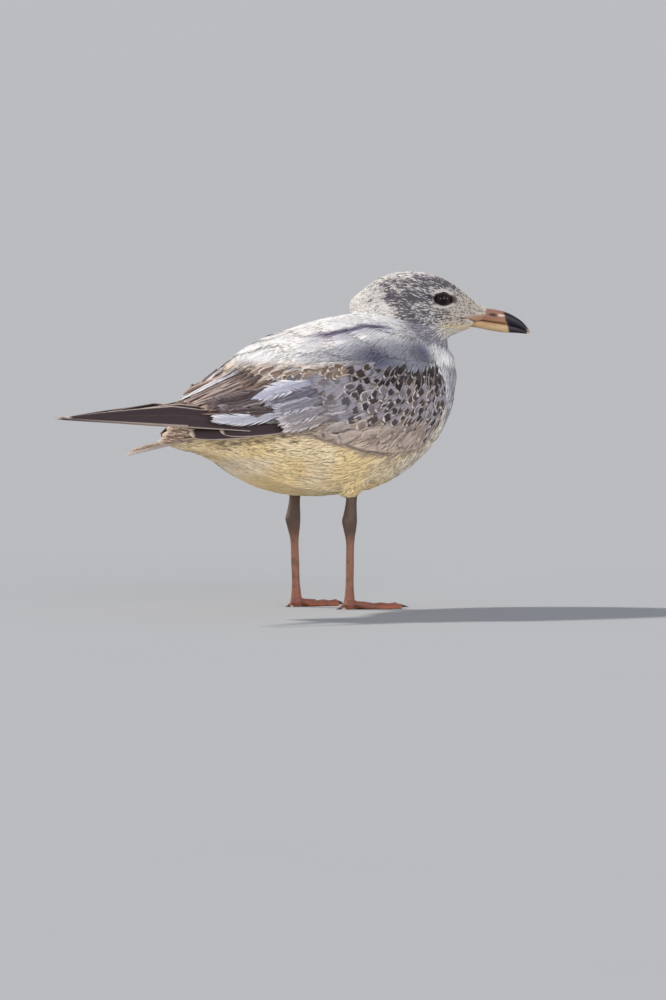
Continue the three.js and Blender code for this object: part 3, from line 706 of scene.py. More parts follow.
def head_markings(p):
    h, s, z = in_head(p)
    side = np.abs(s)
    fine = streaks(p, 2.4, 0.75, 1)
    broken = streaks(p, 5.0, 1.8, 2)
    patch = noise(p, 8, 3)
    around = eye_measure(p)
    flank = ramp(3, 9, side)
    ear = ramp(1.3, 0.4, np.hypot((h - 70) / 24, (z - 233) / 14)) * flank
    crown = ramp(256.5, 250, z) * ramp(240, 247, z) * ramp(30, 62, h) * ramp(118, 104, h)
    collar = near_line(h, z, COLLAR, 10) * ramp(5, 10, side)
    share = np.maximum.reduce([
        0.68 * ear, 0.80 * crown, 0.86 * collar, 0.8 * near_line(h, z, EYE_LINE, 6) * flank,
        0.55 * near_line(h, z, CHEEK_LINE, 6) * flank, 0.52 * ramp(121, 104, h) * ramp(50, 74, h),
    ])
    nape = ramp(68, 30, h + 0.30 * (z - 235) + 14 * (patch - 0.5))
    top = ramp(253.5, 257, z)
    share = np.maximum(share * (1 - 0.9 * nape) * (1 - 0.6 * top), 0.16 * ramp(26, 40, h))
    lore = ramp(96, 103, h) * ramp(122, 114, h) * ramp(219, 224, z) * ramp(246, 240, z)
    share = share * (1 - lore) + 0.24 * lore
    throat = ramp(84, 98, h) * ramp(221, 214, z)
    share = share * (1 - 0.93 * throat)
    ring = ramp(1.95, 1.4, around) * ramp(0.35, 0.8, np.abs(z - EYE["z"]) / 6)
    share = np.clip(share * (1 - 0.85 * ring) + 0.10 * (patch - 0.5), 0.02, 0.93)
    level = 0.32 * fine + 0.08 * broken + 0.60 * noise(p, 0.55, 15)
    cut = 0.30 + 0.40 * share
    # Warm cream on the throat and lower face: partly painted light bounced up from the ground.
    base = mix(WHITE, CREAM_WITH_BOUNCE, 0.30 * throat + 0.32 * ramp(84, 100, h) * ramp(248, 236, z))
    base = mix(base, HEAD_SHADE, 0.28 * ramp(0.3, 0.8, patch) * (1 - nape) * (1 - throat))
    colour = mix(base, STREAK, ramp(cut + 0.06, cut - 0.07, level) * ramp(0.02, 0.16, share) * 0.88)
    colour = mix(colour, HEAD_TONE, 0.20 * share)
    front_corner = near_line(h, z, [(99, 236.5), (103.5, 234.5)], 2.8) * flank
    rear_corner = near_line(h, z, [(88, 236.5), (84, 238)], 2.6) * flank
    rim = ramp(1.32, 1.1, around) * 0.55
    colour = mix(colour, STREAK, np.clip(np.maximum.reduce([front_corner, rear_corner, rim]), 0, 1) * 0.9)
    bare = bare_gape(h, z)
    colour = mix(colour, GAPE_SKIN, bare)
    return mix(colour, GAPE_DARK, 0.85 * near_line(h, z, GAPE_LINE, 1.3) * ramp(0.2, 0.6, bare))


def neck_markings(p):
    h, s, z = in_head(p)
    speck = 0.7 * noise(p * np.array([1, 1, 0.5]), 1.8, 4) + 0.3 * noise(p, 0.5, 16)
    patch = noise(p, 12, 5)
    share = 0.50 * ramp(44, 64, h) * ramp(110, 150, z) * ramp(-18, 6, -s)
    share = np.maximum(share, 0.58 * ramp(60, 84, h) * ramp(110, 150, z))
    share = np.maximum(share, 0.82 * near_line(h, z, COLLAR, 12) * ramp(5, 10, np.abs(s)))
    throat = ramp(84, 96, h) * ramp(200, 212, z)
    share = np.clip(share * (1 - 0.9 * throat) + 0.22 * (patch - 0.5), 0.02, 0.85)
    nape = ramp(50, 38, h)
    base = mix(mix(WHITE, MANTLE_EDGE, 0.6), NECK_SHADE, 0.30 * ramp(0.4, 0.8, patch) * (1 - nape))
    # Warm cream on the throat: partly painted bounced light.
    base = mix(base, CREAM_WITH_BOUNCE, 0.3 * throat)
    cut = 0.24 + 0.5 * share
    specked = ramp(cut + 0.08, cut - 0.08, speck) * ramp(0.03, 0.2, share)
    colour = mix(base, NECK_SPECK, specked * 0.62)
    colour = mix(colour, NECK_TONE, 0.70 * share)
    return mix(colour, mantle_markings(p), ramp(228, 216, z) * ramp(74, 56, h))


# Dark marks on the under tail coverts, as f, z, length and height.
UNDERTAIL_SPOTS = [
    (-108, 131, 7, 3.0), (-92, 132.5, 7, 3.2), (-84, 134, 6, 2.8), (-75, 137, 6, 3.8), (-100, 131, 5, 2.4),
    (-82, 125, 5, 2.6), (-72, 126, 5, 2.4), (-106, 124, 5, 2.2), (-118, 131, 5, 2.2), (-94, 127, 5, 2.2),
    (-66, 132, 5, 2.4), (-113, 127, 4, 2.0),
]


def belly_markings(p):
    f, l, z = bird(p)
    patch = noise(p * np.array([1, 0.45, 1]), 12, 6)
    wide = noise(p, 30, 7)
    speck = noise(p, 3.2, 8)
    # Warm cream underparts: partly painted light bounced up from the ground, deeper lower down.
    base = mix(CREAM_WITH_BOUNCE, DEEP_CREAM, 0.36 * ramp(0.42, 0.85, patch) * ramp(150, 128, z))
    base = mix(base, WHITE, np.clip(0.24 * ramp(0.4, 0.85, wide) + 0.5 * ramp(30, 64, f), 0, 1))
    base = mix(base, WHITE, 0.4 * ramp(-64, -90, f) * ramp(124, 116, z))
    base = mix(base, MANTLE_EDGE, ramp(146, 162, z) * ramp(40, 60, f))
    flank = 0.30 * ramp(42, 60, f) * ramp(140, 122, z) * ramp(100, 110, z)
    cut = 0.18 + 0.5 * flank
    base = mix(base, BELLY_SPECK, ramp(cut + 0.06, cut - 0.06, speck) * ramp(0.03, 0.2, flank) * 0.7)
    return mix(base, SPOT, spotted(f, l, z) * 0.85)


def spotted(f, l, z):
    marks = [ramp(1.25, 0.6, np.hypot((f - a + 0.6 * (z - b)) / length, (z - b) / high) * 2)
             for a, b, length, high in UNDERTAIL_SPOTS]
    return np.maximum.reduce(marks) * ramp(4, 9, np.abs(l))


# Fold between the mantle and the scapulars: f and level. It is drawn as painted shade and a painted shadow
# line.
CREASE_LINE = [(-36, 211), (-19, 212.3), (-7, 213.9), (19, 218), (48, 215.4)]


def mantle_markings(p):
    f, l, z = bird(p)
    patch = noise(p * np.array([1, 0.5, 1]), 14, 9)
    fine = noise(p * np.array([1, 0.25, 1]), 2.4, 10)
    base = mix(MANTLE_EDGE, WHITE, 0.6 * ramp(0.3, 0.75, patch) + 0.3 * fine)
    # Painted shade: below the fold the scapulars are darkened to a violet grey for the shade that falls on
    # them, and a white band just under the fold is painted light on their lit top edge.
    scapular_shade_mask = ramp(-70, 10, f) * ramp(216, 198, z) * ramp(84, 66, f)
    base = mix(base, SCAPULAR_SHADE, scapular_shade_mask * (0.62 + 0.38 * patch))
    lit_scapular_top = near_line(f, z, [(q, v - 5) for q, v in CREASE_LINE], 6)
    base = mix(base, WHITE, 0.6 * lit_scapular_top * ramp(0.3, 0.6, fine))
    # Painted shade and shadow of the fold: soft violet shade just under it, then a thin dark line along it.
    soft = near_line(f, z, [(q, v - 1.5) for q, v in CREASE_LINE], 5) * ramp(-44, -16, f) * ramp(50, 34, f)
    base = mix(base, CREASE_SHADE, 0.45 * soft * ramp(18, 24, np.abs(l)))
    line = near_line(f, z, CREASE_LINE, 1.5 + 1.2 * patch) * ramp(-40, -12, f) * ramp(52, 30, f)
    base = mix(base, CREASE_SHADOW, 0.9 * line * ramp(18, 24, np.abs(l)))
    fleck = ramp(1.2, 0.5, np.hypot((f - 52 + 0.6 * (z - 197)) / 5, (z - 197) / 2.4))
    base = mix(base, MANTLE_FLECK, 0.7 * fleck)
    edge = ramp(192, 184, z + 0.06 * f) * ramp(20, -50, f)
    warm = mix(MANTLE_WARM, COVERT_BROWN, ramp(0.45, 0.75, noise(p * np.array([1, 0.5, 1]), 4, 11)))
    return mix(base, warm, 0.75 * edge)


def rump_markings(p):
    f, l, z = bird(p)
    # Warm cream under the tail: partly painted bounced light.
    base = mix(mix(CREAM_WITH_BOUNCE, WHITE, 0.15), DEEP_CREAM, 0.35 * ramp(0.4, 0.8, noise(p, 9, 12)))
    base = mix(base, WHITE, 0.7 * ramp(146, 152, z))
    return mix(base, SPOT, spotted(f, l, z) * 0.85)


# Dark lower front edge of the wing, as places in the head's h and level.
WING_FRONT_LINE = [(101, 158), (99, 143), (93, 130), (82, 120)]
WING_FRONT_DARK = (0.055, 0.038, 0.050)


def wing_front(p):
    f, l, z = bird(p)
    h = HEAD_COS * f + HEAD_SIN * np.abs(l)
    return near_line(h, z, WING_FRONT_LINE, 6.5) * ramp(12, 22, np.abs(l))


def wing_markings(p):
    f, _l, z = bird(p)
    patch = noise(p * np.array([1, 0.4, 1]), 6, 13)
    upper = ramp(140, 152, z) * ramp(-60, -30, f)
    base = mix(TAUPE, WING_BROWN, 0.75 * ramp(0.35, 0.75, patch))
    base = mix(base, WING_PALE, 0.5 * ramp(128, 119, z))
    base = mix(base, COVERT_BROWN, upper * ramp(0.3, 0.65, patch) * 0.9)
    return mix(base, WING_FRONT_DARK, 0.92 * wing_front(p))


def mantle_share(p):
    """1 where the mantle and scapulars cover a point, 0 below their edge."""
    f, l, z = bird(p)
    edge = 186 + 0.10 * np.maximum(f - 10, 0)
    return ramp(edge - 3, edge + 3, z + 0.25 * np.maximum(46 - np.abs(l), 0) * (f < -40))


def skin_markings(p, owner):
    f, l, z = bird(p)
    front = (ramp(88, 104, f) * ramp(120, 136, z))[:, None]
    back = ramp(168, 184, z + 0.25 * np.abs(l) - 8)
    trunk = mix(belly_markings(p), mantle_markings(p), back) * (1 - front) + neck_markings(p) * front
    wing = wing_markings(p)
    by_owner = [head_markings(p), neck_markings(p), trunk, rump_markings(p), wing, wing]
    out = np.zeros((len(p), 3))
    for number, colours in enumerate(by_owner):
        out[owner == number] = colours[owner == number]
    return out


# ------------------------------------------------------------------ the lie of the feathers

def flow(points):
    """Which way the feathers lie, before it is turned into the surface."""
    f, _l, _z = bird(points)
    away = points - row(*NECK_ROOT)
    back = direction(-1, 0, -0.12)
    share = ramp(40, -60, f)[:, None]
    body = unit(away) * (1 - share) + back * share
    return unit(body)


def head_flow(points):
    away = unit(points - head_row(*BILL_BASE))
    h, _s, _z = in_head(points)
    down = direction(-0.35, 0, -1)
    share = (ramp(60, 34, h) * 0.5)[:, None]
    return unit(away * (1 - share) + down * share)


def neck_flow(points):
    _h, _s, z = in_head(points)
    away = unit(points - head_row(*BILL_BASE))
    low = ramp(222, 186, z)[:, None]
    return unit(away * (1 - low) + flow(points) * low)


def thigh_flow(points):
    f, l, z = bird(points)
    down = direction(-0.5, 0, -1)
    near = ramp(26, 12, np.abs(f)) * ramp(112, 96, z) * ramp(18, 10, np.abs(np.abs(l) - 26))
    return unit(flow(points) * (1 - near)[:, None] + down * near[:, None])


# ------------------------------------------------------------------ feathers

def turned(vectors, axes, angles):
    """Vectors turned about unit axes."""
    cos, sin = np.cos(angles)[..., None], np.sin(angles)[..., None]
    return vectors * cos + np.cross(axes, vectors) * sin + axes * dot(axes, vectors) * (1 - cos)


def spines(surface, roots, normals, lie, lengths, lifts, steps, stray=0.12):
    """Runs of points from each root over the surface, lifted more and more towards the tip."""
    stray_angles = rng.normal(0, stray, len(roots))
    points, tilted = [roots], [normals]
    here, up = roots, normals
    for _ in range(steps):
        way = lie(here)
        way = unit(way - up * dot(way, up))
        way = turned(way, up, stray_angles)
        here, up, _faces = surface.nearest(here + way * (lengths / steps)[:, None])
        points.append(here)
        tilted.append(up)
    points, tilted = np.stack(points, 1), np.stack(tilted, 1)
    share = np.linspace(0, 1, steps + 1)[None, :, None]
    low, high = lifts
    rise = low[:, None, None] * (1 - share) + high[:, None, None] * share**1.3
    return points + tilted * rise, tilted


def vane_template(across, along):
    """Places (u, station) of a closed vane's points, and its faces by size. The tip is a point."""
    u = np.tile(np.linspace(-1, 1, across), along)
    station = np.repeat(np.arange(along), across)
    tip = across * along
    quads, tris = [], []
    for k in range(along - 1):
        for i in range(across - 1):
            a = k * across + i
            quads.append((a, a + 1, a + 1 + across, a + across))
        a = k * across
        quads.append((a, a + across, a + 2 * across - 1, a + across - 1))
    last = (along - 1) * across
    tris += [(last + i, last + i + 1, tip) for i in range(across - 1)]
    tris.append((last, tip, last + across - 1))
    cap = [tuple(range(across - 1, -1, -1))]
    if across == 3:
        tris += cap
        cap = []
    groups = [np.array(quads), np.array(tris)] + ([np.array(cap)] if cap else [])
    return np.append(u, 0), np.append(station, along), groups


VANE_THICKNESS = 0.12
BAKE_PATCH = 0.003  # width of a vane's patch on the bake map


def lay_vanes(spine, normals, half_widths, template, profile, arch, roll):
    """Points of all the vanes, as an array of vanes by points by 3, and each point's (u, t)."""
    u, station, _groups = template
    stations = spine.shape[1]
    along = np.gradient(spine, axis=1)
    along = unit(along)
    side = unit(np.cross(along, normals))
    up = np.cross(side, along)
    angles = np.repeat(roll[:, None], stations, 1)
    side, up = turned(side, along, angles), turned(up, along, angles)
    t = station / (stations - 1)
    half = half_widths[:, None] * profile(t)[None, :]
    camber = arch[:, None] * half_widths[:, None] * (1 - u**2)[None, :] * (1 - t**4)[None, :]
    camber = camber + VANE_THICKNESS * (1 - u**2)
    points = spine[:, station] + side[:, station] * (half * u)[..., None] + up[:, station] * camber[..., None]
    return points, u, t


def narrow_profile(t):
    half = 0.45 + 0.55 * np.sin(np.clip(t * 1.5, 0, 1) * math.pi / 2) - 0.35 * ramp(0.5, 1, t)
    return np.where(t < 0.999, half, 0)


def round_profile(t):
    return (0.5 + 0.5 * np.sin(np.clip(t * 1.6, 0, 1) * math.pi / 2)) * np.sqrt(np.clip(1 - t**7, 0, 1))


NARROW = vane_template(3, 3)
BROAD = vane_template(5, 8)


def patch_map(roots, u, t, origin, axis, patch):
    """Each vane as a small patch at its root's place, unwrapped round the axis of what it is on."""
    axis = unit(np.array(axis, float))
    side = unit(np.cross(axis, (0.13, 0.27, 1.0)))
    other = np.cross(axis, side)
    offset = roots - np.array(origin)
    along = offset @ axis
    turn = np.arctan2(offset @ side, offset @ other) / (2 * math.pi) + 0.5
    run = (along - along.min()) / max(np.ptp(along), 1e-6)
    margin = 2 * patch
    centre = np.stack([margin + run * (1 - 2 * margin), margin + turn * (1 - 2 * margin)], -1)
    local = np.stack([u, 2 * t - 1], -1) * patch / 2
    return centre[:, None, :] + local[None]


def coat_piece(name, template, points, u, t, roots, axis, tint, fringe=None, sizes=None, material=None,
               shade=0.86):
    """One mesh of many vanes, with its colours, its places along each vane, and the bake map."""
    groups = template[2]
    count, per = points.shape[:2]
    shifts = (np.arange(count) * per)[:, None, None]
    faces = [(group[None] + shifts).reshape(-1, group.shape[1]) for group in groups]
    made = mesh_object(name, points.reshape(-1, 3), faces)
    shaded = tint if tint.ndim == 3 else tint[:, None, :]
    shaded = shaded * (shade + (1 - shade) * ramp(0.0, 0.6, t))[None, :, None]
    set_colour(made, "Tint", shaded.reshape(-1, 3))
    if fringe is not None:
        set_colour(made, "Fringe", np.repeat(fringe, per, axis=0))
        chance = rng.random(count)
        chances = np.tile(chance[:, None], (1, per))
        vane = np.stack([np.tile(u, (count, 1)), np.tile(t, (count, 1)), chances], -1)
        set_vector(made, "Vane", vane.reshape(-1, 3))
        length, half = sizes
        barb = np.stack([u[None] * half[:, None], t[None] * length[:, None], np.zeros((count, per))], -1)
        set_vector(made, "Barb", barb.reshape(-1, 3))
    origin, way = axis
    places = patch_map(roots, u, t, origin, way, BAKE_PATCH).reshape(-1, 2)
    layer = made.data.uv_layers.new(name="OFBake")
    corner_points = np.empty(len(made.data.loops), np.int32)
    made.data.loops.foreach_get("vertex_index", corner_points)
    layer.uv.foreach_set("vector", places[corner_points].ravel())
    dress(made, material)
    return made


BODY_AXIS = (row(0, 0, 155), direction(1, 0, 0))
HEAD_AXIS = (head_row(0, 0, 230), head_direction(1, 0, 0))
NECK_AXIS = (row(62, -5, 0), np.array([0.0, 0.0, 1.0]))


class Clumps:
    """Groups of small feathers that together read as larger ones, shingled along their lie."""

    def __init__(self, surface, allowed, spacing, lie, stretch=1.5):
        self.seeds, self.normals, _faces = surface.scatter(allowed, np.full(len(allowed), spacing))
        way = lie(self.seeds)
        self.ways = unit(way - self.normals * dot(way, self.normals))
        self.sides = np.cross(self.normals, self.ways)
        self.spacing, self.stretch = spacing, stretch
        self.tones = rng.uniform(-1, 1, len(self.seeds))
        self.tree = KDTree(len(self.seeds))
        for number, seed in enumerate(self.seeds):
            self.tree.insert(seed, number)
        self.tree.balance()

    def place(self, points):
        """For each point: how far along its group it is, how far across, the group's tone."""
        along, across, tone = (np.empty(len(points)) for _ in range(3))
        for k, point in enumerate(points):
            near = [found[1] for found in self.tree.find_n(point, 4)]
            offset = point - self.seeds[near]
            run = (offset * self.ways[near]).sum(1) / (self.spacing * self.stretch)
            side = (offset * self.sides[near]).sum(1) / self.spacing
            best = np.argmin(run**2 + side**2 + 0.15 * run)
            along[k], across[k], tone[k] = run[best] + 0.5, side[best], self.tones[near[best]]
        return along, across, tone


def down(name, slot, surface, roots, normals, lie, markings, length, width, lift, axis, stray=0.1,
         roll=0.18, arch=0.35, clumps=None, relief=0.0, shade=0.88, contrast=1.0, plain=False):
    """A tract of small narrow feathers. Length and width are functions of the roots."""
    count = len(roots)
    lengths = length(roots) * rng.uniform(0.82, 1.18, count)
    halves = width(roots) * rng.uniform(0.8, 1.2, count) / 2
    low = np.full(count, lift[0])
    high = lift[1] * rng.uniform(0.6, 1.3, count)
    bright = rng.uniform(0.93, 1.05, count)
    if clumps is not None:
        along, across, tone = clumps.place(roots)
        step = ramp(0.25, 1.0, along)
        low = low + 0.5 * relief * step
        high = high + relief * step
        dips = 0.10 * ramp(0.2, 0.9, along) - 0.12 * ramp(0.35, 0.6, np.abs(across))
        bright *= 1 + contrast * (0.05 * tone + dips)
    spine, ups = spines(surface, roots, normals, lie, lengths, (low, high), 3, stray)
    points, u, t = lay_vanes(spine, ups, halves, NARROW, narrow_profile, np.full(count, arch),
                             rng.normal(0, roll, count))
    if plain:
        tint = markings(spine[:, 1]) * bright[:, None]
    else:
        tint = markings(points.reshape(-1, 3)).reshape(points.shape) * bright[:, None, None]
    return coat_piece(name, NARROW, points, u, t, roots, axis, np.clip(tint, 0, 0.95),
                      material=down_finish, shade=shade)


def tract(name, slot, allowed, spacing, lie, markings, length, width, lift, axis, pieces=1, along=1,
          **more):
    """Small feathers over the allowed triangles, in one or several pieces parted along an axis."""
    roots, normals, _faces = hide.scatter(allowed, spacing)
    order = np.argsort(roots[:, along])
    for number, chosen in enumerate(np.array_split(order, pieces)):
        own = name if pieces == 1 else f"{name}_{number + 1}"
        down(own, slot, hide, roots[chosen], normals[chosen], lie, markings, length, width, lift, axis,
             **more)


# ------------------------------------------------------------------ build: skin

skin, hide, owner = make_skin()
set_colour(skin, "Tint", skin_markings(hide.points, owner) * 0.8)
down_finish = down_material("small_feathers")
dress(skin, down_finish, FLESH)

face_owner = owner[hide.triangles[:, 0]]
middles = hide.points[hide.triangles].mean(axis=1)
mf, _ml, mz = bird(middles)
mh, _ms, _mz = in_head(middles)
on = {name: face_owner == number for number, name in enumerate(FLESH)}
flat = np.ones(len(middles))

on_wing = on["wing_left"] | on["wing_right"]
covered = mantle_share(middles)
around_eye = eye_measure(middles)


def head_length(p):
    h, _s, _z = in_head(p)
    return 3.8 - 1.9 * ramp(76, 106, h) - 0.4 * ramp(3.0, 1.3, eye_measure(p))


def head_width(p):
    h, _s, _z = in_head(p)
    return 0.95 - 0.3 * ramp(76, 104, h)


def even(value):
    return lambda p: np.full(len(p), value)


face_share = ramp(70, 100, mh)
feathered = (around_eye > 1.08) & (mh < 128.5) & (bare_gape(mh, mz) < 0.4)
tract("coat_head", "head_feathers", on["head"] & feathered, 0.82 - 0.16 * face_share,
      head_flow, head_markings, head_length, head_width, (0.05, 0.5), HEAD_AXIS, pieces=3, along=2,
      stray=0.12, roll=0.22, arch=0.3, plain=True)

neck_clumps = Clumps(hide, on["neck"], 6.0, neck_flow)
tract("coat_neck", "body_feathers", on["neck"], flat * 1.25, neck_flow, neck_markings, even(7.0), even(1.4),
      (0.1, 0.5), NECK_AXIS, clumps=neck_clumps, relief=0.3, roll=0.1, plain=True)


def underpart_markings(p):
    f, _l, z = bird(p)
    front = (ramp(84, 100, f) * ramp(118, 134, z))[:, None]
    return belly_markings(p) * (1 - front) + neck_markings(p) * front


below = on["trunk"] & (covered < 0.5) & ((mz < 176) | (mf > 60))
belly_clumps = Clumps(hide, below, 11.0, thigh_flow)
tract("coat_belly", "body_feathers", below, flat * 1.65, thigh_flow, underpart_markings, even(13.0),
      even(2.5), (0.05, 0.5), BODY_AXIS, pieces=3, clumps=belly_clumps, relief=0.25, roll=0.06,
      arch=0.12, shade=0.96, contrast=0.6)

tract("coat_rump", "body_feathers", on["rump"], flat * 1.8, flow, rump_markings, even(14.0), even(2.7),
      (0.1, 0.8), BODY_AXIS, clumps=Clumps(hide, on["rump"], 10.0, flow), relief=0.4, roll=0.1, arch=0.2,
      shade=0.94, contrast=0.6)

low_wing = on_wing & (mz < 152 + 6 * ramp(-10, -60, mf))
tract("coat_wing_edge", "wing_coverts", low_wing, flat * 1.9, flow, wing_markings, even(13.0), even(2.3),
      (0.1, 0.8), BODY_AXIS, pieces=2, along=0, clumps=Clumps(hide, low_wing, 10.0, flow), relief=0.7)


# ------------------------------------------------------------------ build: mantle and coverts

CAST_FROM = 95.0  # distance out of the places that roots are cast from
# Rows of coverts from the top down: their levels, and f of the first and the last in a row.
COVERT_ROWS = {"count": 8, "top": 187.5, "drop": 7.1, "front": 73, "front_step": 4, "front_limit": 86,
               "stagger": 2.6, "rear": -80}

def broad(name, roots, normals, lie, lengths, halves, lifts, tint, fringe, stray, roll, arch, base):
    """A tract of broad feathers with a centre, a fringe and a base of its own colour."""
    count = len(roots)
    spine, ups = spines(hide, roots, normals, lie, lengths, lifts, 8, stray)
    points, u, t = lay_vanes(spine, ups, halves, BROAD, round_profile, np.full(count, arch),
                             rng.normal(0, roll, count))
    made = coat_piece(name, BROAD, points, u, t, roots, BODY_AXIS, tint, fringe,
                      (lengths, halves), covert_finish)
    set_colour(made, "Base", np.repeat(base, points.shape[1], axis=0))


covert_finish = vane_material("covert_feathers", fringe=(0.60, 0.88), tip=(0.80, 0.93), ragged=0.36,
                              based=True)
upper = (on["trunk"] | on_wing) & (covered > 0.3)
soft_clumps = Clumps(hide, upper, 19.0, flow, stretch=1.6)
tract("coat_mantle", "body_feathers", upper, flat * 1.6, flow, mantle_markings, even(15.0), even(3.0),
      (0.25, 0.5), BODY_AXIS, pieces=3, clumps=soft_clumps, relief=1.1, stray=0.05, roll=0.03, arch=0.08,
      shade=0.97, contrast=0.7)

def cast_from_side(starts, side):
    """Roots on the skin, cast inwards from (f, level) places beside the bird."""
    origin = row(starts[:, 0], side * CAST_FROM, starts[:, 1])
    return hide.cast(origin, np.repeat(direction(0, -side, 0)[None], len(starts), 0))


for name, side in (("left", 1), ("right", -1)):
    starts = []
    for r in range(COVERT_ROWS["count"]):
        z = COVERT_ROWS["top"] - COVERT_ROWS["drop"] * r
        f = min(COVERT_ROWS["front_limit"], COVERT_ROWS["front"] + COVERT_ROWS["front_step"] * r)
        f -= COVERT_ROWS["stagger"] * (r % 2)
        while f > COVERT_ROWS["rear"]:
            starts.append((f + rng.normal(0, 1.0), z + rng.normal(0, 1.0) - 0.05 * max(0, f - 40), r))
            f -= 5.2 + 3.2 * float(ramp(34, -10, f)) + 1.5 * float(ramp(-20, -60, f))
    starts = np.array(starts)
    roots, normals, good = cast_from_side(starts, side)
    wing_number = FLESH.index("wing_" + name)
    _p, _n, faces = hide.nearest(roots)
    root_f, _root_l, root_z = bird(roots)
    keep = (face_owner[faces] == wing_number) & ~((root_f < -34) & (root_z < 148))
    keep &= ~((root_f < -12) & (starts[good, 2] < 0.5))
    roots, normals, rows_of = roots[keep], normals[keep], starts[good[keep], 2]
    count = len(roots)
    f, l, z = bird(roots)
    chance = rng.random(count)
    rear = ramp(0, -36, f)
    middle = ramp(34, -6, f)
    low = ramp(152, 140, z) * ramp(70, 52, f)
    dark = np.where(rows_of < 1.5, 1.0, np.where(chance < 0.8, 0.92, 0.35)) * (1 - 0.55 * rear)
    tint = mix(COVERT_GREY, COVERT_DARK, dark)
    tint = mix(tint, COVERT_BROWN, 0.55 * ramp(0.4, 0.8, noise(roots, 12, 14)))
    tint = mix(tint, COVERT_REAR, 0.75 * rear * ramp(0.3, 0.6, chance))
    tint = mix(tint, TAUPE, 0.85 * low)
    base = mix(COVERT_BASE, COVERT_DARK, 0.92 * (rows_of < 1.5) * ramp(10, 24, f))
    base = mix(base, TAUPE, 0.8 * low)
    shaded = 0.92 * wing_front(roots)
    tint, base = mix(tint, WING_FRONT_DARK, shaded), mix(base, WING_FRONT_DARK, shaded)
    fringe = mix(COVERT_EDGE, COVERT_REAR_EDGE, 0.6 * rear)
    fringe = mix(mix(fringe, TAUPE, 0.75 * low), WING_FRONT_EDGE, 0.8 * wing_front(roots))
    fringe = fringe * rng.uniform(0.8, 1.12, (count, 1)) * (1 - 0.35 * (rows_of < 1.5))[:, None]
    size = rng.uniform(0.8, 1.22, count)
    broad(f"coat_coverts_{name}", roots, normals, flow,
          (14.0 + 1.5 * middle + 9 * rear + 3 * low) * size, (3.3 + 1.5 * middle + 1.6 * rear) * size,
          (np.full(count, 0.3), 1.0 * rng.uniform(0.7, 1.3, count)), tint, fringe,
          stray=0.17, roll=0.16, arch=0.12, base=base)

    # Scalloped lower edge of the scapulars, warm brown with pale fringes.
    starts = np.array([(f + rng.normal(0, 1.0), 187 + 0.02 * f + rng.normal(0, 1.6))
                       for f in np.arange(-14, -100, -2.4)])
    roots, normals, good = cast_from_side(starts, side)
    count = len(roots)
    tint = mix((0.16, 0.105, 0.085), (0.36, 0.27, 0.21), rng.random(count))
    fringe = mix((0.80, 0.68, 0.56), (0.85, 0.80, 0.80), rng.random(count))
    broad(f"coat_scapular_edge_{name}", roots, normals, flow, rng.uniform(10, 15, count),
          rng.uniform(1.9, 3.0, count), (np.full(count, 1.2), np.full(count, 1.8)), tint, fringe,
          stray=0.2, roll=0.2, arch=0.15, base=tint)


# ------------------------------------------------------------------ build: flight feathers

FLIGHT_ACROSS = 9  # points over the width of a flight feather
FLIGHT_THICKNESS = 0.45


def flight_feather(root, tip, width, spread, sag, steps=26, bow=0.06, point=None):
    """Points and faces of one closed flight feather: a thin cambered vane with a raised shaft."""
    across, thickness = FLIGHT_ACROSS, FLIGHT_THICKNESS
    axis = tip - root
    length = np.linalg.norm(axis)
    axis = axis / length
    side = unit(spread - axis * (spread @ axis))
    face = np.cross(axis, side)
    run = np.sin(np.linspace(0, 1, steps) * math.pi / 2)
    u = np.linspace(-1, 1, across)
    ends = np.sqrt(np.clip(1 - run**8, 0.004, 1))
    full = width * (0.62 + 0.38 * np.minimum(1, run * 2))
    narrowed = np.minimum(full, point[0] + point[1] * (1 - run) * length) if point else full
    raised = (narrowed - point[0]) * 0.5 * POINT_STRAIGHT if point else np.zeros(steps)
    half = narrowed / 2 * ends
    grid_u, grid_run = np.meshgrid(u, run)
    spread_half = half[:, None]
    middle = root + axis * (run * length)[:, None] + face * (sag * np.sin(math.pi * run))[:, None]
    middle = middle + side * raised[:, None]
    points = middle[:, None] + side * (grid_u * spread_half)[..., None]
    camber = bow * width * (1 - grid_u**2)
    shaft = 0.35 * np.exp(-((grid_u / 0.1) ** 2)) * (1 - 0.8 * grid_run)
    thick = thickness * (1 - 0.5 * grid_run) * (1 - 0.75 * grid_u**2) / 2
    outward = face * np.sign(sag if sag else 1)
    top = points + outward * (camber + shaft + thick)[..., None]
    bottom = points + outward * (camber - thick)[..., None]
    top, bottom = top.reshape(-1, 3), bottom.reshape(-1, 3)
    count = steps * across
    quads = []
    for k in range(steps - 1):
        for i in range(across - 1):
            a = k * across + i
            quads.append((a, a + 1, a + across + 1, a + across))
            quads.append((count + a, count + a + across, count + a + across + 1, count + a + 1))
        a, b = k * across, k * across + across - 1
        quads.append((a, a + across, count + a + across, count + a))
        quads.append((b, count + b, count + b + across, b + across))
    for start in (0, (steps - 1) * across):
        for i in range(across - 1):
            a = start + i
            closing = (a, count + a, count + a + 1, a + 1)
            quads.append(closing if start == 0 else closing[:1] + closing[:0:-1])
    vane = np.stack([grid_u.ravel(), grid_run.ravel(), np.zeros(count)], -1)
    barb = np.stack([(grid_u * spread_half).ravel(), (grid_run * length).ravel(), np.zeros(count)], -1)
    return np.concatenate([top, bottom]), np.array(quads), np.tile(vane, (2, 1)), np.tile(barb, (2, 1))


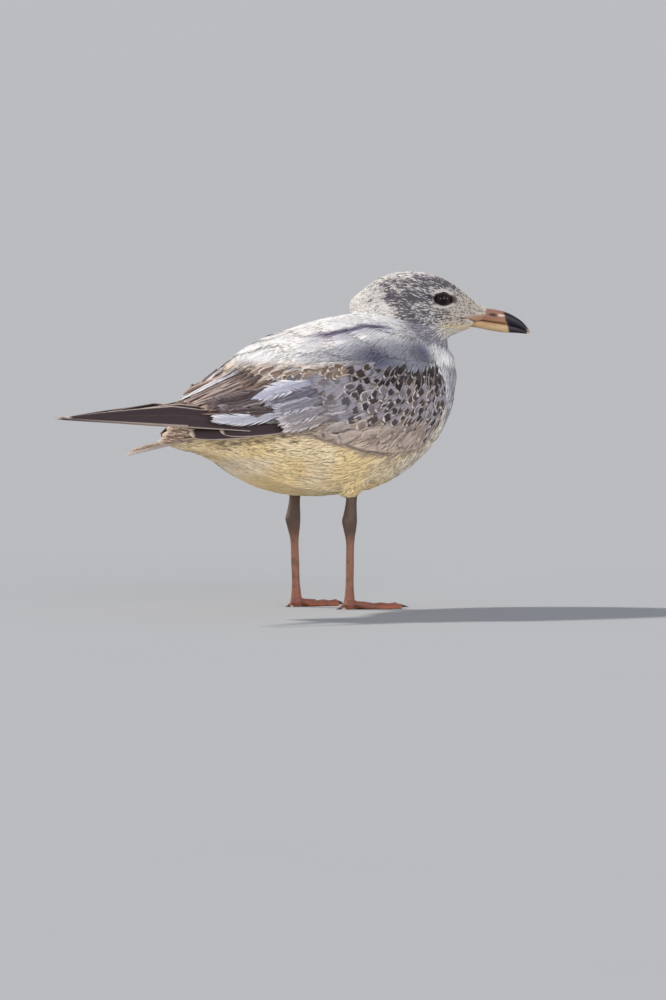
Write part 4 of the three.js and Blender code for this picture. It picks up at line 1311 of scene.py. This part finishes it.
def flight_piece(name, feathers, tints, fringes, material, nodes):
    """One object of several flight feathers."""
    points, quads, vanes, barbs, tint, fringe = [], [], [], [], [], []
    start = 0
    for (own, faces, vane, barb), colour, edge in zip(feathers, tints, fringes):
        points.append(own)
        quads.append(faces + start)
        vanes.append(vane)
        barbs.append(barb)
        tint.append(np.tile(colour, (len(own), 1)))
        fringe.append(np.tile(edge, (len(own), 1)))
        start += len(own)
    made = mesh_object(name, np.concatenate(points), [np.concatenate(quads)])
    set_colour(made, "Tint", np.concatenate(tint))
    set_colour(made, "Fringe", np.concatenate(fringe))
    set_vector(made, "Vane", np.concatenate(vanes))
    set_vector(made, "Barb", np.concatenate(barbs))
    recalculated(made)
    dress(made, material, nodes)


def primaries(side):
    forward, lower = (LEFT_WING["forward"], LEFT_WING["lower"]) if side > 0 else (0, 0)
    root, end, point = PRIMARY_ROOT, PRIMARY_TIP_OUT, PRIMARY_POINT
    feathers = []
    for number, (tip_f, level, length, width) in enumerate(PRIMARY_TIPS):
        tip_out = end["longest"] + end["step"] * number
        share = length / root["closing"] + root["start"]
        root_out = tip_out + (root["out"] - number - tip_out) * share
        narrowing = (point["width"] + number * point["width_step"],
                     point["slope"] + number * point["slope_step"])
        feathers.append(flight_feather(
            row(tip_f + length, side * root_out, root["level"] + number * root["level_step"]),
            row(tip_f + forward, side * tip_out, level - lower), width,
            direction(0, -side * 0.55, 1), side * 1.5, point=narrowing))
    for tip_f, level, out, length, width in SECONDARY_TIPS:
        feathers.append(flight_feather(
            row(tip_f + length, side * (out + SECONDARY_ROOT["out"] - 4), level + 5),
            row(tip_f + forward, side * out, level - lower), width,
            direction(0, -side * 0.55, 1), side * 0.01))
    return feathers


def tertials(side):
    forward, lower = (LEFT_TERTIALS["forward"], LEFT_TERTIALS["lower"]) if side > 0 else (0, 0)
    feathers = []
    for number, (tip_f, level, out, length, width) in enumerate(TERTIAL_TIPS):
        feathers.append(flight_feather(
            row(tip_f + length, side * (out + 17 - 2 * number), level + 20 + 2.5 * number),
            row(tip_f + forward, side * out, level - lower), width,
            direction(0, -side * (0.35 + 0.4 * number), 1), side * -3.5))
    return feathers


def tail_section(l):
    """Level and slope of the tail at its tips, l to the left."""
    slope = TAIL_FOLD["upturn"] if l < TAIL_FOLD["l"] else -TAIL_FOLD["slope"]
    reach = math.hypot(l - TAIL_FOLD["l"], TAIL_FOLD["round"])
    return TAIL_FOLD["level"] + slope * (reach - TAIL_FOLD["round"]), slope * (l - TAIL_FOLD["l"]) / reach


def tail_feathers():
    feathers = []
    for number in range(TAIL_FEATHERS):
        share = 2 * number / (TAIL_FEATHERS - 1) - 1
        tip_l = share * TAIL_TIP["half"]
        level, slope = tail_section(tip_l)
        shingle = 0.9 * (1 - abs(share)) - TAIL_LOOSE * max(share, 0) * (number % 2)
        feathers.append(flight_feather(
            row(TAIL_ROOT["f"], share * TAIL_ROOT["half"], TAIL_ROOT["level"] + shingle),
            row(TAIL_TIP["f"] + TAIL_TIP["corner"] * share**2, tip_l, level + shingle),
            TAIL_FEATHER_WIDTH, direction(0, 1, slope), 0.001, steps=20, bow=0.05))
    return feathers


# Loose feathers over the tertials: f, level and side of the root, the same of the tip, the width,
# then the colour of the vane and of its fringe.
LOOSE_FEATHERS = [
    ((-84, 153, 60), (-141, 151.5, 34), 9, (0.50, 0.51, 0.60), (0.80, 0.80, 0.88)),
    ((-90, 158, 58), (-134, 157, 35), 9, (0.085, 0.06, 0.06), (0.20, 0.15, 0.15)),
    ((-92, 177, 48), (-139, 166, 31), 14, (0.08, 0.052, 0.055), (0.22, 0.17, 0.17)),
    ((-88, 171, 52), (-132, 161, 34), 9, (0.12, 0.085, 0.085), (0.42, 0.37, 0.42)),
    ((-60, 180, 58), (-112, 169, 42), 13, (0.50, 0.51, 0.64), (0.84, 0.84, 0.93)),
    ((-56, 172, 61), (-98, 163, 47), 11, (0.15, 0.13, 0.17), (0.50, 0.49, 0.60)),
    ((-52, 165, 62), (-92, 156, 49), 11, (0.24, 0.22, 0.27), (0.62, 0.61, 0.70)),
    ((-48, 158, 63), (-88, 148, 50), 12, (0.30, 0.27, 0.30), (0.70, 0.67, 0.72)),
    ((-44, 151, 63), (-84, 142, 51), 10, (0.34, 0.29, 0.29), (0.70, 0.65, 0.65)),
]
STREAKED = {"count": 26, "root": ((-84, 179, 46), (-94, 190, 8)), "tip": ((-138, 163, 33), (-152, 159, 4)),
            "width": 4.4}
BARBS = {"count": 30, "reach": 0.30, "width": 1.5}
LEFT_LOOSE = {"forward": 14, "lower": 5}


def hugging(root, tip, stations, proud):
    """Points from root to tip laid on the outside of the solids, and the normals there."""
    share = np.linspace(0, 1, stations)[:, None]
    straight = root * (1 - share) + tip * share
    places, normals, _faces = outside.nearest(straight)
    depth = dot(straight - places, normals)
    places = places + normals * np.clip(depth, -1.0, proud)
    for _ in range(3):
        places[1:-1] = (places[:-2] + 2 * places[1:-1] + places[2:]) / 4
    common = unit(normals.mean(axis=0))
    places = places + common * (2.2 * np.minimum(1, 3 * share) - 1.2)
    return places, unit(common * 0.85 + normals * 0.15)


def loose_feathers(side, name):
    """Fluffy feathers of the wing's rear coverts and the streaked ends of the scapulars."""
    forward, lower = (LEFT_LOOSE["forward"], LEFT_LOOSE["lower"]) if side > 0 else (0, 0)
    made = []
    for k in range(STREAKED["count"]):
        share = k / (STREAKED["count"] - 1)
        wander = rng.uniform(-1, 1, 4)
        (f0, z0, l0), (f1, z1, l1) = STREAKED["root"]
        (f2, z2, l2), (f3, z3, l3) = STREAKED["tip"]
        root = row(f0 + (f1 - f0) * share + 5 * wander[3], side * (l0 + (l1 - l0) * share),
                   z0 + (z1 - z0) * share)
        tip = row(f2 + (f3 - f2) * share + 6 * wander[0] + 9 * (k % 3) + forward,
                  side * (l2 + (l3 - l2) * share), z2 + (z3 - z2) * share + 2.0 * wander[1] - lower)
        tint = [(0.030, 0.019, 0.025), (0.055, 0.035, 0.036), (0.10, 0.065, 0.058)][k % 3]
        edge = [(0.62, 0.48, 0.43), (0.24, 0.17, 0.16), (0.38, 0.26, 0.21)][k % 3]
        if share > 0.80:
            tint, edge = (0.58, 0.52, 0.54), (0.93, 0.91, 0.94)
        made.append((root, tip, STREAKED["width"] * (1 + 0.25 * wander[2]), tint, edge, 0.8))
    for (rf, rz, rl), (tf, tz, tl), width, tint, edge in reversed(LOOSE_FEATHERS):
        tip = row(tf + forward, side * tl, tz - lower)
        made.append((row(rf, side * rl, rz), tip, width, tint, edge, 1.8))
    spine, ups, halves, tints, edges = [], [], [], [], []
    barb_spine, barb_up, barb_half, barb_tint = [], [], [], []
    for number, (root, tip, width, tint, edge, proud) in enumerate(made):
        middle, up = hugging(root, tip, 9, proud + 0.08 * number)
        spine.append(middle)
        ups.append(up)
        halves.append(0.42 * width)
        tints.append(tint)
        edges.append(edge)
        length = np.linalg.norm(tip - root)
        along = unit(np.gradient(middle, axis=0))
        across = unit(np.cross(along, up))
        for k in range(BARBS["count"]):
            start = 0.12 + 0.80 * (k // 2) / (BARBS["count"] / 2)
            end = min(start + BARBS["reach"] * rng.uniform(0.8, 1.15), 1.0 + 0.05 * rng.random())
            t = np.linspace(start, end, 4)
            out = (1 if k % 2 else -1) * 0.56 * width * math.sqrt(max(1 - (end - 0.06) ** 6, 0.04))
            out *= rng.uniform(0.85, 1.15)
            index = np.clip(t, 0, 1) * 8
            run = np.stack([np.interp(index, np.arange(9), middle[:, c]) for c in range(3)], -1)
            cross = np.stack([np.interp(index, np.arange(9), across[:, c]) for c in range(3)], -1)
            rise = np.stack([np.interp(index, np.arange(9), up[:, c]) for c in range(3)], -1)
            run = run + along[-1] * (np.maximum(t - 1, 0) * length)[:, None]
            sweep = np.linspace(0, 1, 4)[:, None] ** 0.8
            barb_spine.append(run + cross * out * sweep + rise * (0.35 - 0.25 * sweep))
            barb_up.append(rise)
            barb_half.append(BARBS["width"] / 2 * rng.uniform(0.7, 1.2) * (0.5 + width / 20))
            shade = rng.uniform(0.85, 1.1)
            bands = np.repeat([0.15, 0.55, 1.0, 1.0], 3)[:10]
            barb_tint.append(mix(tint, edge, bands) * shade)
    count = len(made)
    spine, ups, halves = np.array(spine), np.array(ups), np.array(halves)
    points, u, t = lay_vanes(spine, ups, halves, BROAD, round_profile, np.full(count, 0.2), np.zeros(count))
    lengths = np.linalg.norm(spine[:, -1] - spine[:, 0], axis=1)
    coat_piece(f"coat_loose_vanes_{name}", BROAD, points, u, t, spine[:, 0], BODY_AXIS,
               np.array(tints), np.array(edges), (lengths, halves), loose_finish)
    barb_spine, barb_up, barb_half = np.array(barb_spine), np.array(barb_up), np.array(barb_half)
    points, u, t = lay_vanes(barb_spine, barb_up, barb_half, NARROW, narrow_profile,
                             np.full(len(barb_half), 0.25), rng.normal(0, 0.12, len(barb_half)))
    coat_piece(f"coat_loose_barbs_{name}", NARROW, points, u, t, barb_spine[:, 0], BODY_AXIS,
               np.clip(np.array(barb_tint), 0, 0.95), material=down_finish, shade=0.94)


primary_finish = vane_material("primary_feathers", fringe=(0.84, 1.02), tip=(0.95, 0.98), roughness=0.55,
                               shaft=(0.09, 0.065, 0.06), ragged=0.03)
tertial_finish = vane_material("tertial_feathers", fringe=(0.84, 0.98), tip=(0.94, 0.985), ragged=0.10)
loose_finish = vane_material("loose_feathers", fringe=(0.6, 0.95), tip=(0.84, 0.97), ragged=0.34,
                             shaft=(0.3, 0.28, 0.3), barb=0.14, streaks=0.3)
tail_finish = vane_material("tail_feathers", fringe=(0.60, 0.95), tip=(0.92, 0.98), ragged=0.3, streaks=0.95)
OUTSIDE = ["trunk", "rump", "wing_left", "wing_right", "tertials_left", "tertials_right", "primaries_left",
           "primaries_right"]
solid_points, solid_faces, _trees = joined_nodes(OUTSIDE)
outside = Surface(solid_points, np.array([face[:3] for face in solid_faces]))
outside.soften(1)
TERTIAL_TINTS = [(0.085, 0.06, 0.06), (0.11, 0.08, 0.075), (0.15, 0.10, 0.09), (0.17, 0.12, 0.11)]
for name, side in (("left", 1), ("right", -1)):
    flight_piece(f"vanes_primaries_{name}", primaries(side), [PRIMARY] * 7,
                 [PRIMARY_EDGE] * 7, primary_finish, [f"primaries_{name}"])
    flight_piece(f"vanes_tertials_{name}", tertials(side), TERTIAL_TINTS,
                 [TERTIAL_EDGE] * 4, tertial_finish, [f"tertials_{name}"])
    loose_feathers(side, name)
tail_tints = [(0.25, 0.16, 0.12)] * 3 + [TAIL_BROWN] * 6 + [(0.80, 0.69, 0.68)] * 3
flight_piece("vanes_tail", tail_feathers(), tail_tints, [TAIL_EDGE] * TAIL_FEATHERS,
             tail_finish, ["tail"])


# ------------------------------------------------------------------ build: bill and eyes

def bill_colour(p, upper):
    h, _s, z = in_head(p)
    grain = noise(p * np.array([0.5, 0.5, 1]), 1.6, 20)
    if upper:
        base = mix(BILL_PINK, BILL_TOP, ramp(225.2, 227.6, z + 0.05 * (h - 130)))
        base = mix(base, BILL_STRAW, 0.6 * ramp(221.5, 219.0, z))
    else:
        base = mix(BILL_LOWER, BILL_LOWER_EDGE, ramp(216, 212, z))
    base = mix(base, BILL_GRAIN, 0.25 * ramp(0.45, 0.8, grain))
    boundary = 142.4 + 0.28 * (222 - z) + 2.2 * (noise(p, 2.6, 21) - 0.5)
    base = mix(base, BILL_BLACK, ramp(-1.6, 1.0, h - boundary))
    base = mix(base, BILL_TIP, ramp(157.6, 160.4, h) * ramp(214, 211, z) * (0.8 if upper else 0.5))
    if upper:
        above = z - nostril_level(h)
        # Painted shade: a dark oval in the nostril's hollow.
        slot = np.hypot((h - NOSTRIL["h"]) / (NOSTRIL["length"] / 2), above / NOSTRIL["height"])
        base = mix(base, NOSTRIL_SHADE, ramp(1.15, 0.55, slot) * 0.9)
        # Painted highlight: a pale spot just in front of the nostril, where light shows through it.
        painted_highlight = ramp(1.0, 0.5, np.hypot((h - NOSTRIL["h"] - 6.6) / 3.6, above - 0.5))
        base = mix(base, BILL_PAINTED_HIGHLIGHT, 0.8 * painted_highlight)
        # Painted shade: a dark line along the groove behind the nostril.
        groove_shade = ramp(0.8, 0.2, np.abs(above - 0.1)) * ramp(NOSTRIL["h"] - 1, NOSTRIL["h"] - 4, h)
        base = mix(base, BILL_GROOVE_SHADE, 0.6 * groove_shade)
    cutting = np.abs(z - (217.9 - 0.16 * (h - 132)))
    return mix(base, TOMIUM_DARK, 0.75 * ramp(0.9, 0.3, cutting) * ramp(147, 140, h))


def nostril_level(h):
    return NOSTRIL["z"] - 0.12 * (h - NOSTRIL["h"])


LAPPED_ROWS = [(h, low, high + TOMIUM_LAP, half - 0.35) for h, low, high, half in BILL_LOWER_ROWS]
for part, rows in (("upper", BILL_UPPER_ROWS), ("lower", LAPPED_ROWS)):
    points, faces = mandible(rows)
    h, s, z = in_head(points)
    if part == "upper":
        near = np.hypot((h - NOSTRIL["h"]) / (NOSTRIL["length"] / 2),
                        (z - nostril_level(h)) / (NOSTRIL["height"] / 2))
        dent = NOSTRIL["depth"] * ramp(1.3, 0.4, near)
        points = head_row(h, np.sign(s) * np.maximum(np.abs(s) - dent, 0), z)
    made = mesh_object(f"horn_{part}", points, faces)
    set_colour(made, "Tint", bill_colour(points, part == "upper"))
    shader = Shader(f"bill_{part}", Roughness=0.42, Specular_IOR_Level=0.35)
    shader.colour(shader.blend(0.1, shader.attribute("Tint"), (0.5, 0.4, 0.35), "MULTIPLY"))
    shader.bump(shader.noise(500, 3, (1, 1, 2.5)), 0.12, 0.35)
    recalculated(made)
    dress(made, shader.material, [f"bill_{part}"])


def eyeball(side):
    centre = head_row(EYE["h"], side * EYE["offset"], EYE["z"])

    def place(t, angle, reach):
        tilt = math.pi * t
        ring = EYE["radius"] * np.sin(tilt) * reach
        offset = [ring * np.cos(angle), ring * np.sin(angle), EYE["radius"] * np.cos(tilt)]
        return centre + np.stack(offset, -1)

    return lofted(place, 48, 33)


def eye_material():
    """A dark brown iris, a black pupil and a clear wet surface."""
    shader = Shader("eye", Roughness=0.08, Specular_IOR_Level=0.22)
    fibres = shader.blend(shader.noise(1500, 2), (0.010, 0.006, 0.007), (0.032, 0.017, 0.014))
    shader.colour(shader.blend(shader.attribute("Pupil", "Fac"), fibres, (0.004, 0.003, 0.004)))
    return shader.material


eye_finish = eye_material()
lid_finish = down_material("eyelids", roughness=0.7)


# Rings of the eyelids: share of the opening, and how proud of the ball or skin each one is.
LID_RINGS = [(0.93, 0.15), (1.0, 0.55), (1.12, 0.75), (1.3, 0.45), (1.5, -0.4), (1.2, -1.6), (0.95, -0.9)]


def lid_ring(side):
    """A closed ring of skin round the eye: its inner edge lies on the ball, its outer in the head."""
    around, rings = 64, LID_RINGS
    angle = np.arange(around) / around * 2 * math.pi
    cos, sin = np.cos(angle), np.sin(angle)
    points = []
    for share, proud in rings:
        reach_h = np.where(cos > 0, EYE_OPENING["front"], EYE_OPENING["rear"])
        reach_z = np.where(sin > 0, EYE_OPENING["up"], EYE_OPENING["down"])
        h = EYE["h"] + signed(cos, 1.15) * reach_h * share
        z = EYE["z"] + sin * reach_z * share - 0.06 * (h - EYE["h"])
        start = head_row(h, side * 40.0, z)
        way = np.repeat(head_direction(0, -side, 0)[None], around, 0)
        hits, _n, _g = skin_side.cast(start, way)
        _h, s_skin, _z = in_head(hits)
        reach = np.maximum(EYE["radius"] ** 2 - (h - EYE["h"]) ** 2 - (z - EYE["z"]) ** 2, 0)
        s_ball = EYE["offset"] + np.sqrt(reach)
        s = np.where(reach > 0, np.maximum(s_ball, np.abs(s_skin)), np.abs(s_skin))
        blend = ramp(0.95, 1.5, np.full(around, share))
        s = s_ball * (1 - blend) + np.abs(s_skin) * blend
        points.append(head_row(h, side * (s + proud), z))
    points = np.concatenate(points)
    quads = []
    total = len(rings)
    for k in range(total):
        for i in range(around):
            a, b = k * around + i, k * around + (i + 1) % around
            c, d = ((k + 1) % total) * around + (i + 1) % around, ((k + 1) % total) * around + i
            quads.append((a, b, c, d))
    return points, [np.array(quads)]


points, polygons, _trees = joined_nodes(FLESH)
skin_side = Surface(points, np.array([face[:3] for face in polygons]))
for name, side in (("left", 1), ("right", -1)):
    points, faces = eyeball(side)
    made = mesh_object(f"ball_{name}", points, faces)
    h, s, z = in_head(points)
    pupil = ramp(3.4, 2.9, np.hypot(h - EYE["h"], z - EYE["z"]))
    set_colour(made, "Pupil", np.repeat(pupil[:, None], 3, axis=1))
    recalculated(made)
    dress(made, eye_finish, [f"eye_{name}"])
    points, faces = lid_ring(side)
    made = mesh_object(f"lids_{name}", points, faces)
    share = eye_measure(points)
    h, s, z = in_head(points)
    pale = mix((0.10, 0.085, 0.08), (0.66, 0.62, 0.58), ramp(0.35, 0.75, np.abs(z - EYE["z"]) / 6))
    tint = mix((0.03, 0.022, 0.025), pale, ramp(1.04, 1.22, share))
    set_colour(made, "Tint", tint)
    recalculated(made)
    dress(made, lid_finish)


# ------------------------------------------------------------------ build: legs and feet

def leg_loft(leg):
    at = smooth(LEG_ROWS)

    def place(t, angle, reach):
        z = LEG_ROWS[0][0] + (LEG_ROWS[-1][0] - LEG_ROWS[0][0]) * t
        across, along, step = at(z)
        rise = np.minimum(1, z / ANKLE_LEVEL)
        f = leg["foot_f"] + (leg["ankle_f"] - leg["foot_f"]) * rise + step
        scute = 0.13 * np.abs(np.sin(z * math.pi / 2.3)) * ramp(0.1, 0.7, np.sin(angle)) * ramp(60, 54, z)
        return row(f + np.sin(angle) * (along + scute) * reach,
                   leg["side"] * LEG_OUT + np.cos(angle) * across * reach, z)

    return lofted(place, 40, 200)


def toe_way(leg, turn):
    angle = leg["side"] * (leg["splay"] - turn)
    return direction(math.cos(angle), math.sin(angle), 0)


def toe_loft(leg, toe):
    root = row(leg["foot_f"], leg["side"] * LEG_OUT, 0)
    way = toe_way(leg, toe["turn"])
    across = np.cross((0, 0, 1), way)

    def place(t, angle, reach):
        joints = 0.35 * np.cos(t * 6 * math.pi)
        half = toe["half"] * (1.1 - 0.35 * t) + joints
        lift = TOE_LIFT + INSTEP * (1 - t) ** 4
        ridge = 0.12 * np.abs(np.sin(t * toe["length"] * math.pi / 1.7)) * ramp(0.2, 0.8, np.sin(angle))
        return (root + way * (t * toe["length"])[:, None] + across * (np.cos(angle) * half * reach)[:, None]
                + np.array([0, 0, 1.0]) * (lift + np.sin(angle) * (half + ridge) * reach)[:, None])

    return lofted(place, 16, 50)


def hind_toe_loft(leg):
    root = row(leg["foot_f"], leg["side"] * LEG_OUT, 0)
    way = -toe_way(leg, 0)
    across = np.cross((0, 0, 1), way)

    def place(t, angle, reach):
        level = HIND_TOE["level"] + (HIND_TOE["end_level"] - HIND_TOE["level"]) * t
        return (root + way * (t * HIND_TOE["length"])[:, None]
                + across * (np.cos(angle) * HIND_TOE["half"] * reach)[:, None]
                + np.array([0, 0, 1.0]) * (level + np.sin(angle) * HIND_TOE["half"] * reach)[:, None])

    return lofted(place, 14, 14)


def web_loft(leg, first, second):
    """The web between two toes, with a hollow front edge, as a thin closed fan."""
    root = row(leg["foot_f"], leg["side"] * LEG_OUT, 0)
    a = toe_way(leg, first["turn"]) * first["length"] * 0.9
    c = toe_way(leg, second["turn"]) * second["length"] * 0.9
    b = (a + c) * 0.5 * 0.72
    steps, rings = 18, 14
    t = np.linspace(0, 1, steps)[:, None]
    edge = a * (1 - t) ** 2 + 2 * b * t * (1 - t) + c * t**2
    reach = np.linspace(0.04, 1, rings)
    flat_points = root + edge[None] * reach[:, None, None]
    fold = 0.35 * np.sin(np.linspace(0, 1, steps) * math.pi * 5)[None] * reach[:, None] ** 0.5
    sag = 0.5 * np.sin(np.linspace(0, 1, steps) * math.pi)[None]
    rise = 1.75 + fold - sag + 1.5 * (1 - reach[:, None]) ** 2
    top = flat_points + np.array([0, 0, 1.0]) * rise[..., None]
    bottom = flat_points + np.array([0, 0, 1.0]) * (0.55 + fold * 0.2)[..., None]
    count = rings * steps
    quads = []
    for k in range(rings - 1):
        for i in range(steps - 1):
            p = k * steps + i
            quads.append((p, p + 1, p + 1 + steps, p + steps))
            quads.append((count + p, count + p + steps, count + p + 1 + steps, count + p + 1))
    border = list(range(steps)) + [k * steps + steps - 1 for k in range(1, rings)]
    border += [(rings - 1) * steps + i for i in range(steps - 2, -1, -1)]
    border += [k * steps for k in range(rings - 2, 0, -1)]
    for p, q in zip(border, border[1:] + border[:1]):
        quads.append((p, count + p, count + q, q))
    return np.concatenate([top.reshape(-1, 3), bottom.reshape(-1, 3)]), [np.array(quads)]


def claw_loft(root, way, length, half, drop):
    across = np.cross((0, 0, 1), way)

    def place(t, angle, reach):
        size = half * (1 - 0.85 * t)
        return (root + way * (t * length)[:, None] + across * (np.cos(angle) * size * 0.8 * reach)[:, None]
                + np.array([0, 0, 1.0]) * (np.sin(angle) * size * reach - drop * t * t)[:, None])

    return lofted(place, 16, 12)


def gathered(parts):
    """Points and polygons of several lofts together."""
    points, polygons, start = [], [], 0
    for own, groups in parts:
        points.append(own)
        for group in groups:
            polygons += (group + start).tolist()
        start += len(own)
    return np.concatenate(points), polygons


def skin_shader(name, scale):
    shader = Shader(name, Roughness=0.48, Specular_IOR_Level=0.4)
    shader.colour(shader.blend(shader.ramp(0.3, 0.8, shader.noise(700, 3)), shader.attribute("Tint"),
                               shader.blend(0.35, shader.attribute("Tint"), (0.3, 0.25, 0.2), "MULTIPLY")))
    scales = shader.tree.nodes.new("ShaderNodeTexVoronoi")
    scales.feature = "DISTANCE_TO_EDGE"
    shader.put(scales.inputs["Vector"], shader.node("TexCoord", out="Object"))
    scales.inputs["Scale"].default_value = scale
    shader.bump(shader.ramp(0.0, 0.12, scales.outputs["Distance"]), 0.12, 0.6)
    return shader.material


leg_finish = skin_shader("leg_skin", 900)
foot_finish = skin_shader("foot_skin", 1100)
claw_shader = Shader("claw_horn", Roughness=0.35)
claw_shader.colour(claw_shader.blend(claw_shader.noise(900, 2), (0.02, 0.016, 0.014), (0.07, 0.05, 0.045)))


def nail(name, root, way, length, half, drop):
    """A claw that stays above the floor."""
    points, faces = claw_loft(root, way, length, half, drop)
    points[:, 2] = np.maximum(points[:, 2], 0)
    made = mesh_object(f"nail_{name}", points, faces)
    recalculated(made)
    dress(made, claw_shader.material, [f"claw_{name}"])


for name, leg in LEGS.items():
    points, faces = leg_loft(leg)
    made = mesh_object(f"shank_{name}", points, faces)
    f, l, z = bird(points)
    tint = mix(LEG_PINK, LEG_GREY, ramp(46, 64, z) * (0.75 + 0.25 * noise(points, 5, 30)))
    tint = mix(tint, FOOT_RED, ramp(26, 8, z) * 0.6)
    tint = mix(tint, LEG_GREY, 0.4 * ramp(0.55, 0.8, noise(points, 3.5, 31)))
    set_colour(made, "Tint", tint)
    recalculated(made)
    dress(made, leg_finish, [f"tibia_{name}", f"tarsus_{name}"])

    parts = [toe_loft(leg, toe) for toe in TOES.values()] + [hind_toe_loft(leg)]
    parts += [web_loft(leg, TOES["inner"], TOES["middle"]), web_loft(leg, TOES["middle"], TOES["outer"])]
    knuckle = row(leg["foot_f"], leg["side"] * LEG_OUT, KNUCKLE["level"])
    parts.append(lofted(lambda t, angle, reach: knuckle + KNUCKLE["radius"] * np.stack(
        [np.sin(math.pi * t) * np.cos(angle) * reach, np.sin(math.pi * t) * np.sin(angle) * reach,
         np.cos(math.pi * t)], -1), 24, 17))
    points, polygons = gathered(parts)
    foot = remeshed(f"toes_{name}", points, polygons, 0.5, 2)
    points = points_of(foot)
    points[:, 2] = np.maximum(points[:, 2], 0)
    set_points(foot, points)
    web = noise(points, 6, 32)
    _f, _l, z = bird(points)
    tint = mix(FOOT_RED, SOLE, ramp(2.2, 1.2, z) * 0.8)
    tint = mix(tint, WEB_DARK, 0.5 * ramp(0.5, 0.8, web) + 0.25 * ramp(2.4, 4.0, z))
    set_colour(foot, "Tint", tint)
    dress(foot, foot_finish, [f"foot_{name}"])

    base = row(leg["foot_f"], leg["side"] * LEG_OUT, 0)
    for toe_name, toe in TOES.items():
        way = toe_way(leg, toe["turn"])
        root = base + way * (toe["length"] - 0.6) + np.array([0, 0, TOE_LIFT + 0.5])
        nail(f"{name}_{toe_name}", root, way, toe["claw"] + 0.9, 1.25, 1.0)
    way = -toe_way(leg, 0)
    root = base + way * (HIND_TOE["length"] - 0.3) + np.array([0, 0, HIND_TOE["end_level"]])
    nail(f"{name}_hind", root, way, HIND_TOE["claw"] + 0.6, 0.95, 1.2)


# ------------------------------------------------------------------ floor, light and camera

PHOTO_MM = 0.77  # millimetres of the bird's plane for each pixel
PHOTO_HEIGHT_PX = 1000
# Middle of the picture from the point between the feet, in pixels of a picture PHOTO_HEIGHT_PX high.
AIM_RIGHT_PX, AIM_UP_PX = 12, 108
SENSOR = 36
VIEW_TURN = math.radians(41)
VIEW_LIFT = math.radians(3)
DISTANCE = 20000
CLIP_END = 200  # metres
FLOOR_RADIUS = 90000


def make_floor():
    steps, rings = 64, 9
    points = [(0.0, 0.0, 0.0)]
    for ring in range(1, rings + 1):
        for k in range(steps):
            angle = 2 * math.pi * k / steps
            reach = FLOOR_RADIUS * (ring / rings) ** 2
            points.append((reach * math.cos(angle), reach * math.sin(angle), 0.0))
    tris = [(0, 1 + k, 1 + (k + 1) % steps) for k in range(steps)]
    quads = []
    for ring in range(rings - 1):
        for k in range(steps):
            a, b = 1 + ring * steps + k, 1 + ring * steps + (k + 1) % steps
            quads.append((a, a + steps, b + steps, b))
    floor = mesh_object("floor", np.array(points), [np.array(quads), np.array(tris)])
    shader = Shader("floor_paint", Roughness=0.8)
    shader.colour(shader.blend(shader.noise(3, 2), (0.335, 0.345, 0.365), (0.345, 0.355, 0.375)))
    floor.data.materials.append(shader.material)


def sun_light(name, toward_light, watts, degrees, colour):
    data = bpy.data.lights.new(name, "SUN")
    data.energy = watts
    data.angle = math.radians(degrees)
    data.color = colour
    lamp = bpy.data.objects.new(name, data)
    bpy.context.scene.collection.objects.link(lamp)
    lamp.rotation_euler = Vector(toward_light).to_track_quat("Z", "Y").to_euler()


def make_camera():
    right = Vector((-math.sin(VIEW_TURN), -math.cos(VIEW_TURN), 0))
    toward = Vector((-math.cos(VIEW_TURN) * math.cos(VIEW_LIFT), math.sin(VIEW_TURN) * math.cos(VIEW_LIFT),
                     math.sin(VIEW_LIFT)))
    up = toward.cross(right)
    if up.z < 0:
        up = -up
    aim = Vector((0, BOX_CENTRE_F, 0)) + right * (AIM_RIGHT_PX * PHOTO_MM) + up * (AIM_UP_PX * PHOTO_MM)
    data = bpy.data.cameras.new("camera")
    data.lens = SENSOR * DISTANCE / (PHOTO_HEIGHT_PX * PHOTO_MM)
    data.sensor_width = SENSOR
    data.clip_end = CLIP_END
    camera = bpy.data.objects.new("camera", data)
    bpy.context.scene.collection.objects.link(camera)
    place = (aim + toward * DISTANCE) * MM
    back = right.cross(up)
    camera.matrix_world = Matrix.Translation(place) @ Matrix((right, up, back)).transposed().to_4x4()
    bpy.context.scene.camera = camera
    return right, toward


make_floor()
right, toward = make_camera()
up = Vector((0, 0, 1))
sun_light("sun", up * 0.66 - right * 0.66 - toward * 0.34, 3.6, 4, (1.0, 0.955, 0.88))
sun_light("fill", toward * 0.9 + right * 0.3 + up * 0.3, 1.15, 40, (0.90, 0.92, 1.0))
sun_light("bounce", toward * 0.7 - right * 0.5 + up * 0.10, 0.85, 20, (1.0, 0.88, 0.66))
sun_light("front", toward * 0.42 + right * 0.9 + up * 0.06, 1.0, 30, (1.0, 0.93, 0.80))

world = bpy.data.worlds.new("world")
bpy.context.scene.world = world
world.use_nodes = True
world.node_tree.nodes["Background"].inputs["Color"].default_value = (0.40, 0.42, 0.47, 1)
world.node_tree.nodes["Background"].inputs["Strength"].default_value = 1.0
bpy.context.scene.view_settings.view_transform = "Standard"
